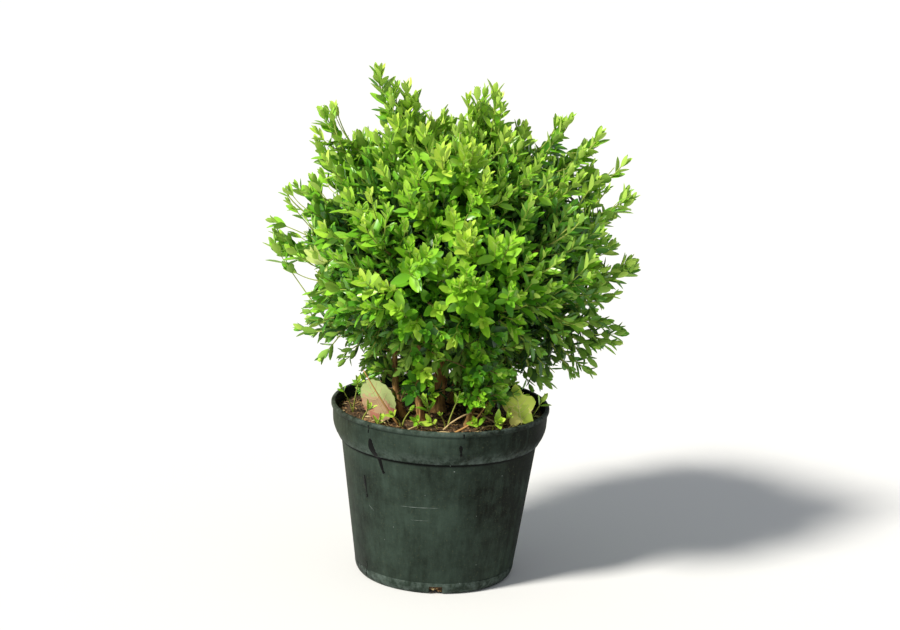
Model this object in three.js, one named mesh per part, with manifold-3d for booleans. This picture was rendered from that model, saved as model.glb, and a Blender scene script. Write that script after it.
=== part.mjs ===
// Potted common boxwood: a clump of box stems in a plastic nursery pot, under one dense, round crown.
// Millimetres, +Z up. The origin is the centre of the pot's flat underside. The plant's front faces -Y.
import * as THREE from "three";
import { mergeVertices } from "three/addons/utils/BufferGeometryUtils.js";
import Module from "manifold-3d";

const wasm = await Module();
wasm.setup();

const { degToRad, radToDeg, lerp, mapLinear } = THREE.MathUtils;
const up = new THREE.Vector3(0, 0, 1);
const clearance = 0.3; // between pieces that touch
const smallestDetail = 0.03; // kept where pieces are joined

const pot = {
  height: 184,
  rimRadius: 115, // of the rolled lip round the mouth
  lipHeight: 5,
  lipEdge: 1,
  bandRadius: 112.5, // of the deep band under the lip
  bandShoulder: 163, // the height from which the band draws in
  bandBulge: 1,
  bandFoot: 148, // the band's lower edge, with a small step under it
  bandFootRadius: 106,
  bandStep: 1.5,
  wallTopRadius: 103.5,
  wallFootRadius: 84.5,
  cornerHeight: 12, // the rounded turn from the wall to the base
  cornerSteps: 3,
  baseRadius: 78,
  wall: 2.2,
  floor: 2.6,
  sides: 36,
};

// Drainage holes, cut through the foot of the wall, with the first one in front
const drain = { holes: 4, width: 15, height: 9, depth: 30, firstTurn: -88 };

const soil = {
  level: 172, // under the feet of the stems
  dips: [1, 3.6], // how much lower the rest of the surface lies, least and most
  dipSize: 14,
  rings: 3,
  sides: 18,
  moundTop: 2, // a mound stands out this far round each stem's foot,
  moundFoot: 9, // and this far at its own
  moundHeight: 6,
  moundSides: 6,
};

const crown = {
  centre: new THREE.Vector3(5, 0, 350),
  sideReach: 180,
  topReach: 152,
  footReach: 157,
  topFullness: 2.3, // 2 is a plain ellipsoid, and more is squarer
  footFullness: 3,
  lowest: 190, // leaves hang no lower than this, over the rim
  column: 33, // the space round the middle stem that the side masses leave free
  twigs: 116,
  tipScatter: 0.09,
};

// The furthest shoots of the outline and the dips between them. Turn goes round the crown from its right
// side, and rise is the angle above level. Extra is how far they pass the plain round reach.
const tuftsInView = [
  { turn: 0, rise: 77, extra: 24, spread: 8 },
  { turn: 180, rise: 72, extra: 22, spread: 4 },
  { turn: 180, rise: 65, extra: 48, spread: 4 },
  { turn: 180, rise: 44, extra: 30, spread: 8 },
  { turn: 180, rise: 16, extra: 9, spread: 6 },
  { turn: 180, rise: 2, extra: 11, spread: 7 },
  { turn: 0, rise: 50, extra: 22, spread: 5 },
  { turn: 0, rise: 40, extra: 24, spread: 5 },
  { turn: 0, rise: 29, extra: 28, spread: 5 },
  { turn: 0, rise: 18, extra: 22, spread: 5 },
  { turn: 0, rise: -5, extra: 18, spread: 6 },
  { turn: 0, rise: -28, extra: 20, spread: 8 },
  { turn: 0, rise: -40, extra: 14, spread: 6 },
  { turn: 180, rise: 87, extra: -18, spread: 7 },
  { turn: 180, rise: 55, extra: -8, spread: 4 },
  { turn: 180, rise: 28, extra: -9, spread: 6 },
  { turn: 0, rise: 58, extra: -14, spread: 5 },
  { turn: 0, rise: 9, extra: -12, spread: 5 },
  { turn: 180, rise: -16, extra: -14, spread: 8 },
  { turn: 234, rise: -50, extra: -20, spread: 16 },
];
// The front and the back have the same shoots, turned this far, but for the ones nearest the top and the pot
const hiddenSides = { turn: 97, share: 0.8, steepest: 48 };

// The dense inside of the masses, which fills this share of the crown's reach, with a valley where two meet
const core = { share: 0.73, gap: 1.5, valley: 20, valleyWidth: 32, bumps: 4, detail: 4 };

// A mass has its heart this far out from the crown's axis and above its centre. Each side mass stands on
// a stem of its own, and the middle stem forks into a bough for each top mass.
const sideHeart = { out: 82, above: -16 };
const topHeart = { out: 44, above: 62 };
const sideMasses = [
  { side: "right", turn: 0, footTurn: 20, footOut: 42 },
  { side: "back_right", turn: 60, footTurn: 75, footOut: 40 },
  { side: "back_left", turn: 120, footTurn: 128, footOut: 36 },
  { side: "left", turn: 180, footTurn: 208, footOut: 43 },
  { side: "front_left", turn: 240, footTurn: 237, footOut: 34 },
  { side: "front_right", turn: 300, footTurn: 303, footOut: 53 },
];
const topMasses = [
  { side: "top_right", turn: 30 },
  { side: "top_left", turn: 150 },
  { side: "top_front", turn: 270 },
];

// Rise and lean shape a limb's curve at its foot and at its tip. Flare widens the foot of a stem.
const sideStem = {
  footRadius: 3.5,
  tipRadius: 2.2,
  flare: 0.4,
  footRise: 38,
  footLean: 22,
  tipRise: 75,
  tipLean: 42,
};
const middleStem = {
  footRadius: 7.6,
  tipRadius: 6.8,
  flare: 0.45,
  footRise: 30,
  footLean: 0,
  tipRise: 30,
  tipLean: 0,
};
const topBough = {
  footRadius: 3.1,
  tipRadius: 2.2,
  flare: 0,
  footRise: 30,
  footLean: 2,
  tipRise: 45,
  tipLean: 22,
};
const middleFoot = new THREE.Vector3(-4, 7, soil.level + clearance);
const fork = new THREE.Vector3(4, 0, 258);
const forkSpacing = 3.8; // the boughs stand this far out on the end of the middle stem
const limb = { sides: 7, steps: 5, flareHeight: 0.1 };

const twig = {
  footRadius: 2.4,
  tipRadius: 1.8,
  sunk: 9, // in the core
  shortest: 16,
  sag: 0.12,
  steps: 2,
  clearOfLimbs: 4,
  clearOfWalls: 1.5,
};

const leaf = {
  length: 35, // nearly twice life size, as each stands for a few
  width: 19,
  thickness: 1.6,
  sunk: 0.8,
  pairs: 2,
  firstPair: 0.5, // along the twig
  firstSpread: 56, // degrees between leaf and twig
  tipSpread: 30,
  unevenness: 0.16, // of length and spread
};

const materials = {
  pot: new THREE.MeshStandardMaterial({ color: 0x3b4542, roughness: 0.5, metalness: 0 }),
  soil: new THREE.MeshStandardMaterial({ color: 0x33251c, roughness: 1, metalness: 0 }),
  bark: new THREE.MeshStandardMaterial({ color: 0x9a7b4a, roughness: 0.85, metalness: 0 }),
  foliage: new THREE.MeshStandardMaterial({ color: 0x5d9426, roughness: 0.45, metalness: 0 }),
};

function wayTo(turn, rise) {
  const level = new THREE.Vector3(Math.cos(degToRad(turn)), Math.sin(degToRad(turn)), 0);
  return level.multiplyScalar(Math.cos(degToRad(rise))).addScaledVector(up, Math.sin(degToRad(rise)));
}

// A repeatable run of numbers from 0 to 1.
function seeded(seed) {
  let state = seed;
  return () => {
    state = (state + 0x6d2b79f5) | 0;
    let mixed = Math.imul(state ^ (state >>> 15), 1 | state);
    mixed = (mixed + Math.imul(mixed ^ (mixed >>> 7), 61 | mixed)) ^ mixed;
    return ((mixed ^ (mixed >>> 14)) >>> 0) / 2 ** 32;
  };
}

// Closed solids and drawn geometry

function toSolid(geometry) {
  const bare = new THREE.BufferGeometry().setAttribute("position", geometry.getAttribute("position"));
  if (geometry.index) bare.setIndex(geometry.index);
  const merged = mergeVertices(bare, 1e-4);
  const mesh = new wasm.Mesh({
    numProp: 3,
    vertProperties: merged.attributes.position.array,
    triVerts: new Uint32Array(merged.index.array),
  });
  return new wasm.Manifold(mesh);
}

function toGeometry(body) {
  const mesh = body.getMesh();
  const geometry = new THREE.BufferGeometry();
  geometry.setAttribute("position", new THREE.BufferAttribute(new Float32Array(mesh.vertProperties), 3));
  geometry.setIndex(new THREE.BufferAttribute(new Uint32Array(mesh.triVerts), 1));
  geometry.computeVertexNormals();
  return geometry;
}

// Joins pieces into one body. Hollows that this seals are filled, and scraps that came loose are dropped.
function fuse(pieces) {
  const bodies = wasm.Manifold.union(pieces).decompose();
  const largest = bodies.reduce((most, body) => (body.volume() > most.volume() ? body : most));
  return largest.simplify(smallestDetail);
}

// Turns a profile of [radius, height] points about the upright axis.
function turned(profile, sides) {
  const points = profile.map(([radius, height]) => new THREE.Vector2(radius, height));
  return new THREE.LatheGeometry(points, sides).rotateX(Math.PI / 2);
}

// Pot and soil

// The rounded turn from the base up to the wall, set in from the outside by the given thicknesses.
function potCorner(sideInset, floorInset) {
  return Array.from({ length: pot.cornerSteps + 1 }, (_, i) => {
    const angle = ((i / pot.cornerSteps) * Math.PI) / 2;
    const radius = lerp(pot.baseRadius, pot.wallFootRadius, Math.sin(angle));
    const height = lerp(floorInset, pot.cornerHeight, 1 - Math.cos(angle));
    return [radius - sideInset, height];
  });
}

// The wall and the band above it, up to the band's shoulder, set in by one thickness.
function potWall(inset) {
  const bandMiddle = (pot.bandFootRadius + pot.bandRadius) / 2 + pot.bandBulge;
  return [
    [pot.wallTopRadius - inset, pot.bandFoot - pot.bandStep],
    [pot.bandFootRadius - inset, pot.bandFoot],
    [bandMiddle - inset, (pot.bandFoot + pot.bandShoulder) / 2],
    [pot.bandRadius - inset, pot.bandShoulder],
  ];
}

function potGeometry() {
  const underLip = pot.height - pot.lipHeight;
  const lip = [
    [pot.bandRadius + pot.lipEdge, underLip],
    [pot.rimRadius, underLip + pot.lipEdge],
    [pot.rimRadius, pot.height - pot.lipEdge],
    [pot.rimRadius - pot.lipEdge, pot.height],
    [pot.bandRadius - pot.wall, pot.height],
  ];
  const outside = [...potCorner(0, 0), ...potWall(0), ...lip];
  const inside = [...potCorner(pot.wall, pot.floor), ...potWall(pot.wall)].reverse();
  let body = toSolid(turned([[0, 0], ...outside, ...inside, [0, pot.floor]], pot.sides));
  for (let i = 0; i < drain.holes; i++) {
    const hole = new THREE.BoxGeometry(drain.depth, drain.width, 2 * drain.height);
    hole.translate(pot.wallFootRadius, 0, 0);
    hole.rotateZ(degToRad(drain.firstTurn + (i * 360) / drain.holes));
    body = body.subtract(toSolid(hole));
  }
  return toGeometry(body);
}

function soilDip(x, y) {
  const wave = Math.sin(x / soil.dipSize + 1) * Math.cos(y / soil.dipSize - 0.6);
  return mapLinear(wave, -1, 1, ...soil.dips);
}

// The soil fills the pot up to its own lumpy surface, with a mound round the foot of each stem.
function soilGeometry(feet) {
  const inset = pot.wall + clearance;
  const sides = [...potCorner(inset, pot.floor + clearance), ...potWall(inset)];
  const edge = pot.bandRadius - inset;
  const top = Array.from({ length: soil.rings }, (_, i) => [edge * (1 - i / soil.rings), soil.level]);
  const filling = turned([[0, pot.floor + clearance], ...sides, ...top, [0, soil.level]], soil.sides);
  const place = filling.attributes.position;
  for (let i = 0; i < place.count; i++) {
    const onTop = place.getZ(i) === Math.fround(soil.level);
    if (onTop) place.setZ(i, soil.level - soilDip(place.getX(i), place.getY(i)));
  }
  const mounds = feet.map(({ spot, radius }) => {
    const ends = [radius + soil.moundTop, radius + soil.moundFoot];
    const mound = new THREE.CylinderGeometry(...ends, soil.moundHeight, soil.moundSides);
    return mound.rotateX(Math.PI / 2).translate(spot.x, spot.y, soil.level - soil.moundHeight / 2);
  });
  return toGeometry(fuse([filling, ...mounds].map(toSolid)));
}

// Limbs

// A limb or twig: a cylinder bent along part of a curve, with square ends or with its foot cut level.
function bentCylinder(curve, from, to, radiusAt, sides, steps, levelFoot = false) {
  const tube = new THREE.CylinderGeometry(1, 1, 1, sides, steps);
  const chord = curve.getPoint(1).sub(curve.getPoint(0));
  const level = new THREE.Vector3(-chord.y, chord.x, 0);
  if (level.length() < 1e-3 * chord.length()) level.set(1, 0, 0);
  level.normalize();
  const place = tube.attributes.position;
  for (let i = 0; i < place.count; i++) {
    const share = lerp(from, to, place.getY(i) + 0.5);
    const tangent = curve.getTangentAt(share);
    const beside = level.clone().cross(tangent).normalize();
    const across = tangent.clone().cross(beside);
    const radius = radiusAt(share);
    const middle = curve.getPointAt(share);
    const spot = middle.clone().addScaledVector(across, place.getX(i) * radius);
    spot.addScaledVector(beside, place.getZ(i) * radius);
    if (levelFoot && share === from) spot.z = middle.z;
    place.setXYZ(i, spot.x, spot.y, spot.z);
  }
  return tube;
}

// A limb from its foot to the heart of its mass or to the fork, leaning out in one direction.
function limbFrom(foot, tip, out, shape) {
  const rising = foot.clone().addScaledVector(up, shape.footRise).addScaledVector(out, shape.footLean);
  const arriving = tip.clone().addScaledVector(up, -shape.tipRise).addScaledVector(out, -shape.tipLean);
  const radiusAt = (share) => {
    const flare = 1 + shape.flare * Math.exp(-share / limb.flareHeight);
    return lerp(shape.footRadius, shape.tipRadius, share) * flare;
  };
  return { curve: new THREE.CubicBezierCurve3(foot, rising, arriving, tip), radiusAt, to: 1 };
}

// A limb's solid, or with clear set the space it needs inside its mass's core.
function limbGeometry({ curve, radiusAt, to }, clear = 0) {
  const end = to + clear / curve.getLength();
  return bentCylinder(curve, 0, end, (share) => radiusAt(share) + clear, limb.sides, limb.steps, true);
}

// The crown's reach, and the masses with their own spaces

const tufts = tuftsInView.flatMap(({ turn, rise, extra, spread }) => {
  const width = degToRad(spread);
  const inView = { way: wayTo(turn, rise), extra, width };
  if (Math.abs(rise) > hiddenSides.steepest) return [inView];
  const hidden = { way: wayTo(turn + hiddenSides.turn, rise), extra: extra * hiddenSides.share, width };
  return [inView, hidden];
});

// How far the leaves are from the crown's centre in one direction, without the tufts and with them.
function plainReach(way) {
  const above = way.z > 0;
  const fullness = above ? crown.topFullness : crown.footFullness;
  const level = Math.hypot(way.x, way.y) / crown.sideReach;
  const upright = Math.abs(way.z) / (above ? crown.topReach : crown.footReach);
  return (level ** fullness + upright ** fullness) ** (-1 / fullness);
}

function reach(way) {
  const nearness = (tuft) => Math.exp(-((way.angleTo(tuft.way) / tuft.width) ** 2));
  return tufts.reduce((far, tuft) => far + tuft.extra * nearness(tuft), plainReach(way));
}

function heartAt(turn, { out, above }) {
  return crown.centre.clone().addScaledVector(wayTo(turn, 0), out).addScaledVector(up, above);
}

const masses = [
  ...sideMasses.map(({ side, turn, footTurn, footOut }) => {
    const heart = heartAt(turn, sideHeart);
    const foot = wayTo(footTurn, 0).multiplyScalar(footOut).setZ(soil.level + clearance);
    const walls = [new THREE.Plane(wayTo(turn, 0), -crown.column)];
    return { side, heart, walls, kind: "stem_", limb: limbFrom(foot, heart, wayTo(turn, 0), sideStem) };
  }),
  ...topMasses.map(({ side, turn }) => {
    const heart = heartAt(turn, topHeart);
    const foot = fork.clone().addScaledVector(wayTo(turn, 0), forkSpacing).addScaledVector(up, clearance);
    return { side, heart, walls: [], kind: "bough_", limb: limbFrom(foot, heart, wayTo(turn, 0), topBough) };
  }),
];

// The walls of a mass's own space face into it: half way to each other heart, and over the rim.
for (const mass of masses) {
  mass.walls.push(new THREE.Plane(up, -crown.lowest));
  for (const other of masses) {
    if (other === mass) continue;
    const inward = mass.heart.clone().sub(other.heart).normalize();
    const middle = mass.heart.clone().add(other.heart).multiplyScalar(0.5);
    mass.walls.push(new THREE.Plane().setFromNormalAndCoplanarPoint(inward, middle));
  }
}

function inSpace(mass, point, gap) {
  return mass.walls.every((wall) => wall.distanceToPoint(point) > gap);
}

// How far the cores reach from the crown's centre: bumpy, with a valley between one mass and the next.
function coreReach(way) {
  const far = plainReach(way) * core.share;
  const spot = crown.centre.clone().addScaledVector(way, far);
  const [nearest, second] = masses.map((mass) => mass.heart.distanceTo(spot)).sort((a, b) => a - b);
  const valley = core.valley * Math.exp(-(((second - nearest) / core.valleyWidth) ** 2));
  const waves = [17 * way.x + 11 * way.y, 16 * way.y - 12 * way.z, 18 * way.z + 10 * way.x];
  return waves.reduce((sum, wave) => sum + core.bumps * Math.sin(wave), far - valley);
}

function inCore(mass, point, depth) {
  const way = point.clone().sub(crown.centre);
  const far = way.length();
  return inSpace(mass, point, core.gap + depth) && far < coreReach(way.normalize()) - depth;
}

// A stem or bough ends where it has just gone into its mass's core.
for (const mass of masses) {
  const own = mass.limb;
  const step = 0.01;
  own.to = 0.2;
  while (own.to < 1 && !inCore(mass, own.curve.getPointAt(own.to), own.radiusAt(own.to))) own.to += step;
}

const middle = limbFrom(middleFoot, fork, up, middleStem);
const limbs = [middle, ...masses.map((mass) => mass.limb)];

function clearOfLimbs(point) {
  const samples = Array.from({ length: 25 }, (_, i) => i / 24);
  return limbs.every(({ curve, radiusAt, to }) =>
    samples.every((share) => {
      const gap = point.distanceTo(curve.getPointAt(share * to)) - radiusAt(share * to);
      return gap > twig.clearOfLimbs;
    }),
  );
}

const ball = new THREE.IcosahedronGeometry(1, core.detail);
const corners = ball.attributes.position;
for (let i = 0; i < corners.count; i++) {
  const way = new THREE.Vector3().fromBufferAttribute(corners, i).normalize();
  const spot = crown.centre.clone().addScaledVector(way, coreReach(way));
  corners.setXYZ(i, spot.x, spot.y, spot.z);
}
const wholeCore = toSolid(ball);

// A mass's part of the core, cut off at the walls of the mass's own space.
function coreSolid(mass) {
  const size = 4 * crown.sideReach;
  return mass.walls.reduce((body, wall) => {
    const outside = new THREE.BoxGeometry(size, size, size).translate(0, 0, core.gap - size / 2);
    outside.applyQuaternion(new THREE.Quaternion().setFromUnitVectors(up, wall.normal));
    const spot = wall.projectPoint(crown.centre, new THREE.Vector3());
    return body.subtract(toSolid(outside.translate(spot.x, spot.y, spot.z)));
  }, wholeCore);
}

// Foliage: twigs that stand out of each core to the crown's reach, with leaves in pairs, each pair turned
// a quarter from the last

// Even directions all round, each turned from the last by the golden angle.
function spiral(count) {
  const golden = 180 * (3 - Math.sqrt(5));
  const riseOf = (i) => radToDeg(Math.asin(1 - (2 * i + 1) / count));
  return Array.from({ length: count }, (_, i) => wayTo(i * golden, riseOf(i)));
}

// A twig's curve, from inside its mass's core to a tip, or nothing where it would be too short, leave its
// mass's space or touch a limb.
function growTwig(mass, tip) {
  const step = 2;
  const root = tip.clone();
  const inward = mass.heart.clone().sub(tip).normalize();
  while (!inCore(mass, root, twig.sunk)) {
    if (root.distanceTo(mass.heart) < step) return null;
    root.addScaledVector(inward, step);
  }
  const length = root.distanceTo(tip);
  const bend = root.clone().lerp(tip, 0.5).addScaledVector(up, -twig.sag * length);
  const curve = new THREE.QuadraticBezierCurve3(root, bend, tip);
  const points = curve.getSpacedPoints(6);
  const fits = points.every((point) => inSpace(mass, point, twig.clearOfWalls) && clearOfLimbs(point));
  return fits && length > twig.shortest ? curve : null;
}

// A blade of 8 faces that points along one way and turns its upper side to another.
function leafGeometry(root, along, face, length) {
  const blade = new THREE.OctahedronGeometry(0.5).scale(leaf.width, length, leaf.thickness);
  blade.translate(0, length / 2 - leaf.sunk, 0);
  const across = along.clone().cross(face);
  return blade.applyMatrix4(new THREE.Matrix4().makeBasis(across, along, face).setPosition(root));
}

function leafFits(mass, blade) {
  const place = blade.attributes.position;
  const corner = new THREE.Vector3();
  for (let i = 0; i < place.count; i++) {
    corner.fromBufferAttribute(place, i);
    if (!inSpace(mass, corner, clearance) || !clearOfLimbs(corner)) return false;
  }
  return true;
}

function leavesOn(mass, curve, draw) {
  const uneven = () => 1 + leaf.unevenness * (2 * draw() - 1);
  const twist = draw() * Math.PI;
  const leaves = [];
  for (let pair = 0; pair < leaf.pairs; pair++) {
    const order = pair / (leaf.pairs - 1);
    const share = lerp(leaf.firstPair, 1, order);
    const stalk = curve.getTangentAt(share);
    const outward = new THREE.Vector3(1, 0.3, 0.2).cross(stalk).normalize();
    outward.applyAxisAngle(stalk, twist + (pair * Math.PI) / 2);
    for (const hand of [1, -1]) {
      const spread = degToRad(lerp(leaf.firstSpread, leaf.tipSpread, order)) * uneven();
      const [ahead, aside] = [Math.cos(spread), hand * Math.sin(spread)];
      const along = stalk.clone().multiplyScalar(ahead).addScaledVector(outward, aside);
      const face = stalk.clone().multiplyScalar(Math.abs(aside)).addScaledVector(outward, -hand * ahead);
      leaves.push(leafGeometry(curve.getPointAt(share), along, face, leaf.length * uneven()));
    }
  }
  return leaves.filter((blade) => leafFits(mass, blade));
}

const draw = seeded(7);
const tipOverhang = leaf.length * Math.cos(degToRad(leaf.tipSpread)); // of the last leaves past their twig
const tips = [
  ...tufts.filter(({ extra }) => extra > 0).map(({ way }) => ({ way, share: 1 })),
  ...spiral(crown.twigs).map((way) => ({ way, share: 1 - crown.tipScatter * draw() })),
].map(({ way, share }) => crown.centre.clone().addScaledVector(way, reach(way) * share - tipOverhang));

// A mass: its part of the core with room for its stem or bough, the stem that goes on from there, and all
// its twigs and leaves, in one body.
function massGeometry(mass) {
  const { curve, radiusAt, to } = mass.limb;
  const room = toSolid(limbGeometry(mass.limb, clearance));
  const goesOn = bentCylinder(curve, to + clearance / curve.getLength(), 1, radiusAt, limb.sides, 2);
  const pieces = [coreSolid(mass).subtract(room), toSolid(goesOn)];
  const radiusOfTwig = (share) => lerp(twig.footRadius, twig.tipRadius, share);
  for (const tip of tips.filter((place) => inSpace(mass, place, 0))) {
    const twigCurve = growTwig(mass, tip);
    if (!twigCurve) continue;
    pieces.push(toSolid(bentCylinder(twigCurve, 0, 1, radiusOfTwig, 3, twig.steps)));
    pieces.push(...leavesOn(mass, twigCurve, draw).map(toSolid));
  }
  return toGeometry(fuse(pieces));
}

const object = new THREE.Group();

function add(name, geometry, material) {
  const mesh = new THREE.Mesh(geometry, material);
  mesh.name = name;
  object.add(mesh);
}

const standing = [middle, ...masses.filter(({ kind }) => kind === "stem_").map((mass) => mass.limb)];
add("pot", potGeometry(), materials.pot);
const feet = standing.map(({ curve, radiusAt }) => ({ spot: curve.v0, radius: radiusAt(0) }));
add("soil", soilGeometry(feet), materials.soil);
add("stem_middle", limbGeometry(middle), materials.bark);
for (const mass of masses) add(mass.kind + mass.side, limbGeometry(mass.limb), materials.bark);
for (const mass of masses) add("foliage_" + mass.side, massGeometry(mass), materials.foliage);

export default object;
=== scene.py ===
import math
import bpy
import numpy as np
from mathutils import Matrix, Vector, noise


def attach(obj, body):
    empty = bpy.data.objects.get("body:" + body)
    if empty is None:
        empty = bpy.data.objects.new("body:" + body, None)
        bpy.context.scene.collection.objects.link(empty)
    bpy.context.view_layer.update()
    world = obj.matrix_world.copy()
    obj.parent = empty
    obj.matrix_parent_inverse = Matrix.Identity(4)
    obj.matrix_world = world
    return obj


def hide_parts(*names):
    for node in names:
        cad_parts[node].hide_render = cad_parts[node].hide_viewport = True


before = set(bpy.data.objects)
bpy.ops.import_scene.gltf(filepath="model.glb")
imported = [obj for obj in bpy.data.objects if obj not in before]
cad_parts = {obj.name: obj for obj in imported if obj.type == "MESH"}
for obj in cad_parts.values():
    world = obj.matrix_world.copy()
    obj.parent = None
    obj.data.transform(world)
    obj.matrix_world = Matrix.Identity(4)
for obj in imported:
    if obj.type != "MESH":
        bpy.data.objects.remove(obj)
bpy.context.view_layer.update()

mm = 0.001  # shapes are worked out in millimetres and stored in metres
up = np.array([0.0, 0.0, 1.0])
rng = np.random.default_rng(11)


# small helpers

def linear(hexColour):
    shares = [int(hexColour[i:i + 2], 16) / 255 for i in (1, 3, 5)]
    return [s / 12.92 if s <= 0.04045 else ((s + 0.055) / 1.055) ** 2.4 for s in shares] + [1.0]


def addNode(tree, kind, inputs=None, **settings):
    node = tree.nodes.new("ShaderNode" + kind)
    for name, value in settings.items():
        setattr(node, name, value)
    for name, value in (inputs or {}).items():
        if isinstance(value, bpy.types.NodeSocket):
            tree.links.new(value, node.inputs[name])
        else:
            node.inputs[name].default_value = value
    return node


def startMaterial(name, values):
    material = bpy.data.materials.new(name)
    material.use_nodes = True
    shader = material.node_tree.nodes["Principled BSDF"]
    for socket, value in values.items():
        shader.inputs[socket].default_value = value
    return material, material.node_tree, shader


def meshPiece(name, points, triangles, materials, materialOf=None, smooth=True):
    mesh = bpy.data.meshes.new(name)
    points = np.asarray(points, float) * mm
    triangles = np.asarray(triangles, int)
    mesh.vertices.add(len(points))
    mesh.vertices.foreach_set("co", points.ravel())
    mesh.loops.add(triangles.size)
    mesh.loops.foreach_set("vertex_index", triangles.ravel())
    mesh.polygons.add(len(triangles))
    mesh.polygons.foreach_set("loop_start", np.arange(0, triangles.size, 3))
    for material in materials:
        mesh.materials.append(material)
    if materialOf is not None:
        mesh.polygons.foreach_set("material_index", np.asarray(materialOf, int))
    mesh.polygons.foreach_set("use_smooth", np.full(len(triangles), smooth))
    mesh.update()
    piece = bpy.data.objects.new(name, mesh)
    bpy.context.collection.objects.link(piece)
    return piece


def seat(piece, slot, *nodes):
    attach(piece, "root")
    if nodes:
        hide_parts(*nodes)
    return piece


def unit(vectors):
    vectors = np.asarray(vectors, float)
    return vectors / np.linalg.norm(vectors, axis=-1, keepdims=True)


def wayTo(turn, rise):
    around, above = math.radians(turn), math.radians(rise)
    return np.array([math.cos(above) * math.cos(around), math.cos(above) * math.sin(around), math.sin(above)])


def bezier(foot, rising, arriving, tip, count):
    t = np.linspace(0, 1, count)[:, None]
    s = 1 - t
    return s**3 * foot + 3 * s * s * t * rising + 3 * s * t * t * arriving + t**3 * tip


def evenly(path, count):
    steps = np.concatenate([[0], np.cumsum(np.linalg.norm(np.diff(path, axis=0), axis=1))])
    wanted = np.linspace(0, steps[-1], count)
    return np.stack([np.interp(wanted, steps, path[:, axis]) for axis in range(3)], axis=1)


def tube(path, radii, sides, relief=None):  # a tube with rounded-off ends
    tangents = unit(np.gradient(path, axis=0))
    beside = unit(np.cross(tangents[0], [0.31, 0.92, 0.24]))
    angles = np.arange(sides) * 2 * math.pi / sides
    rings = []
    for step, (spot, tangent) in enumerate(zip(path, tangents)):
        beside = unit(beside - tangent * np.dot(beside, tangent))
        across = np.cross(tangent, beside)
        for angle in angles:
            out = beside * math.cos(angle) + across * math.sin(angle)
            swell = relief(spot + out * radii[step], angle) if relief else 0
            rings.append(spot + out * (radii[step] + swell))
    last = len(path) - 1
    ends = [path[0] - tangents[0] * radii[0] * 0.3, path[last] + tangents[last] * radii[last]]
    points = np.array(rings + ends)
    triangles = []
    for step in range(last):
        for side in range(sides):
            a = step * sides + side
            b = step * sides + (side + 1) % sides
            triangles += [(a, b, b + sides), (a, b + sides, a + sides)]
    for side in range(sides):
        after = (side + 1) % sides
        triangles.append((len(points) - 2, after, side))
        triangles.append((len(points) - 1, last * sides + side, last * sides + after))
    return points, np.array(triangles)


def joined(parts):
    points, triangles, offset = [], [], 0
    for partPoints, partTriangles in parts:
        points.append(partPoints)
        triangles.append(partTriangles + offset)
        offset += len(partPoints)
    return np.concatenate(points), np.concatenate(triangles)


def discFaces(rings, sides):  # point 0 in the middle, then the rings from the inside out
    triangles = [(0, 1 + side, 1 + (side + 1) % sides) for side in range(sides)]
    for ring in range(rings - 1):
        for side in range(sides):
            a = 1 + ring * sides + side
            b = 1 + ring * sides + (side + 1) % sides
            triangles += [(a, a + sides, b + sides), (a, b + sides, b)]
    return np.array(triangles)


# camera at the photo's angle: a long lens from a little above the rim, turned slightly on its axis

view = {
    "distance": 2.5,
    "aimHeight": 0.280,
    "elevation": 13.5,
    "roll": 2.4,  # the photo's plant leans to the right
    "lens": 96.0,
    "shift": (0.0064, -0.0019),
}


def makeCamera():
    camera = bpy.data.objects.new("camera", bpy.data.cameras.new("camera"))
    bpy.context.collection.objects.link(camera)
    rise = math.radians(view["elevation"])
    aim = Vector((0, 0, view["aimHeight"]))
    back = Vector((0, -math.cos(rise), math.sin(rise))) * view["distance"]
    turn = (-back).to_track_quat("-Z", "Y").to_matrix().to_4x4()
    roll = Matrix.Rotation(math.radians(view["roll"]), 4, "Z")
    camera.matrix_world = Matrix.Translation(aim + back) @ turn @ roll
    camera.data.lens = view["lens"]
    camera.data.sensor_width = 36
    camera.data.shift_x, camera.data.shift_y = view["shift"]
    camera.data.clip_end = 50
    bpy.context.scene.camera = camera


makeCamera()


# floor, world background and light

studio = {
    "floor": "#EBEBEA",
    "world": ("#F2F7FF", 0.37),
    "key": {"from": (-1.25, -1.02, 1.55), "spread": 11, "strength": 4.45, "colour": "#FFFBF3"},
}


def makeStudio():
    look = {"Base Color": linear(studio["floor"]), "Roughness": 0.9}
    paint = startMaterial("matt white studio paint", look)[0]
    mesh = bpy.data.meshes.new("floor")
    mesh.from_pydata([(-40, -40, 0), (40, -40, 0), (40, 40, 0), (-40, 40, 0)], [], [(0, 1, 2, 3)])
    mesh.materials.append(paint)
    floor = bpy.data.objects.new("floor", mesh)
    bpy.context.collection.objects.link(floor)
    key = bpy.data.lights.new("key", "SUN")
    key.energy = studio["key"]["strength"]
    key.angle = math.radians(studio["key"]["spread"])
    key.color = linear(studio["key"]["colour"])[:3]
    keyHolder = bpy.data.objects.new("key", key)
    keyHolder.location = studio["key"]["from"]
    keyHolder.rotation_euler = (-keyHolder.location).to_track_quat("-Z", "Y").to_euler()
    bpy.context.collection.objects.link(keyHolder)
    colour, strength = studio["world"]
    world = bpy.data.worlds.new("studio")
    world.use_nodes = True
    world.node_tree.nodes["Background"].inputs["Color"].default_value = linear(colour)
    world.node_tree.nodes["Background"].inputs["Strength"].default_value = strength
    bpy.context.scene.world = world
    bpy.context.scene.view_settings.view_transform = "Standard"


makeStudio()
print("camera and studio ready")


# the nursery pot: one turned wall with a rolled lip, a deep band and a line round the foot

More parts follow.
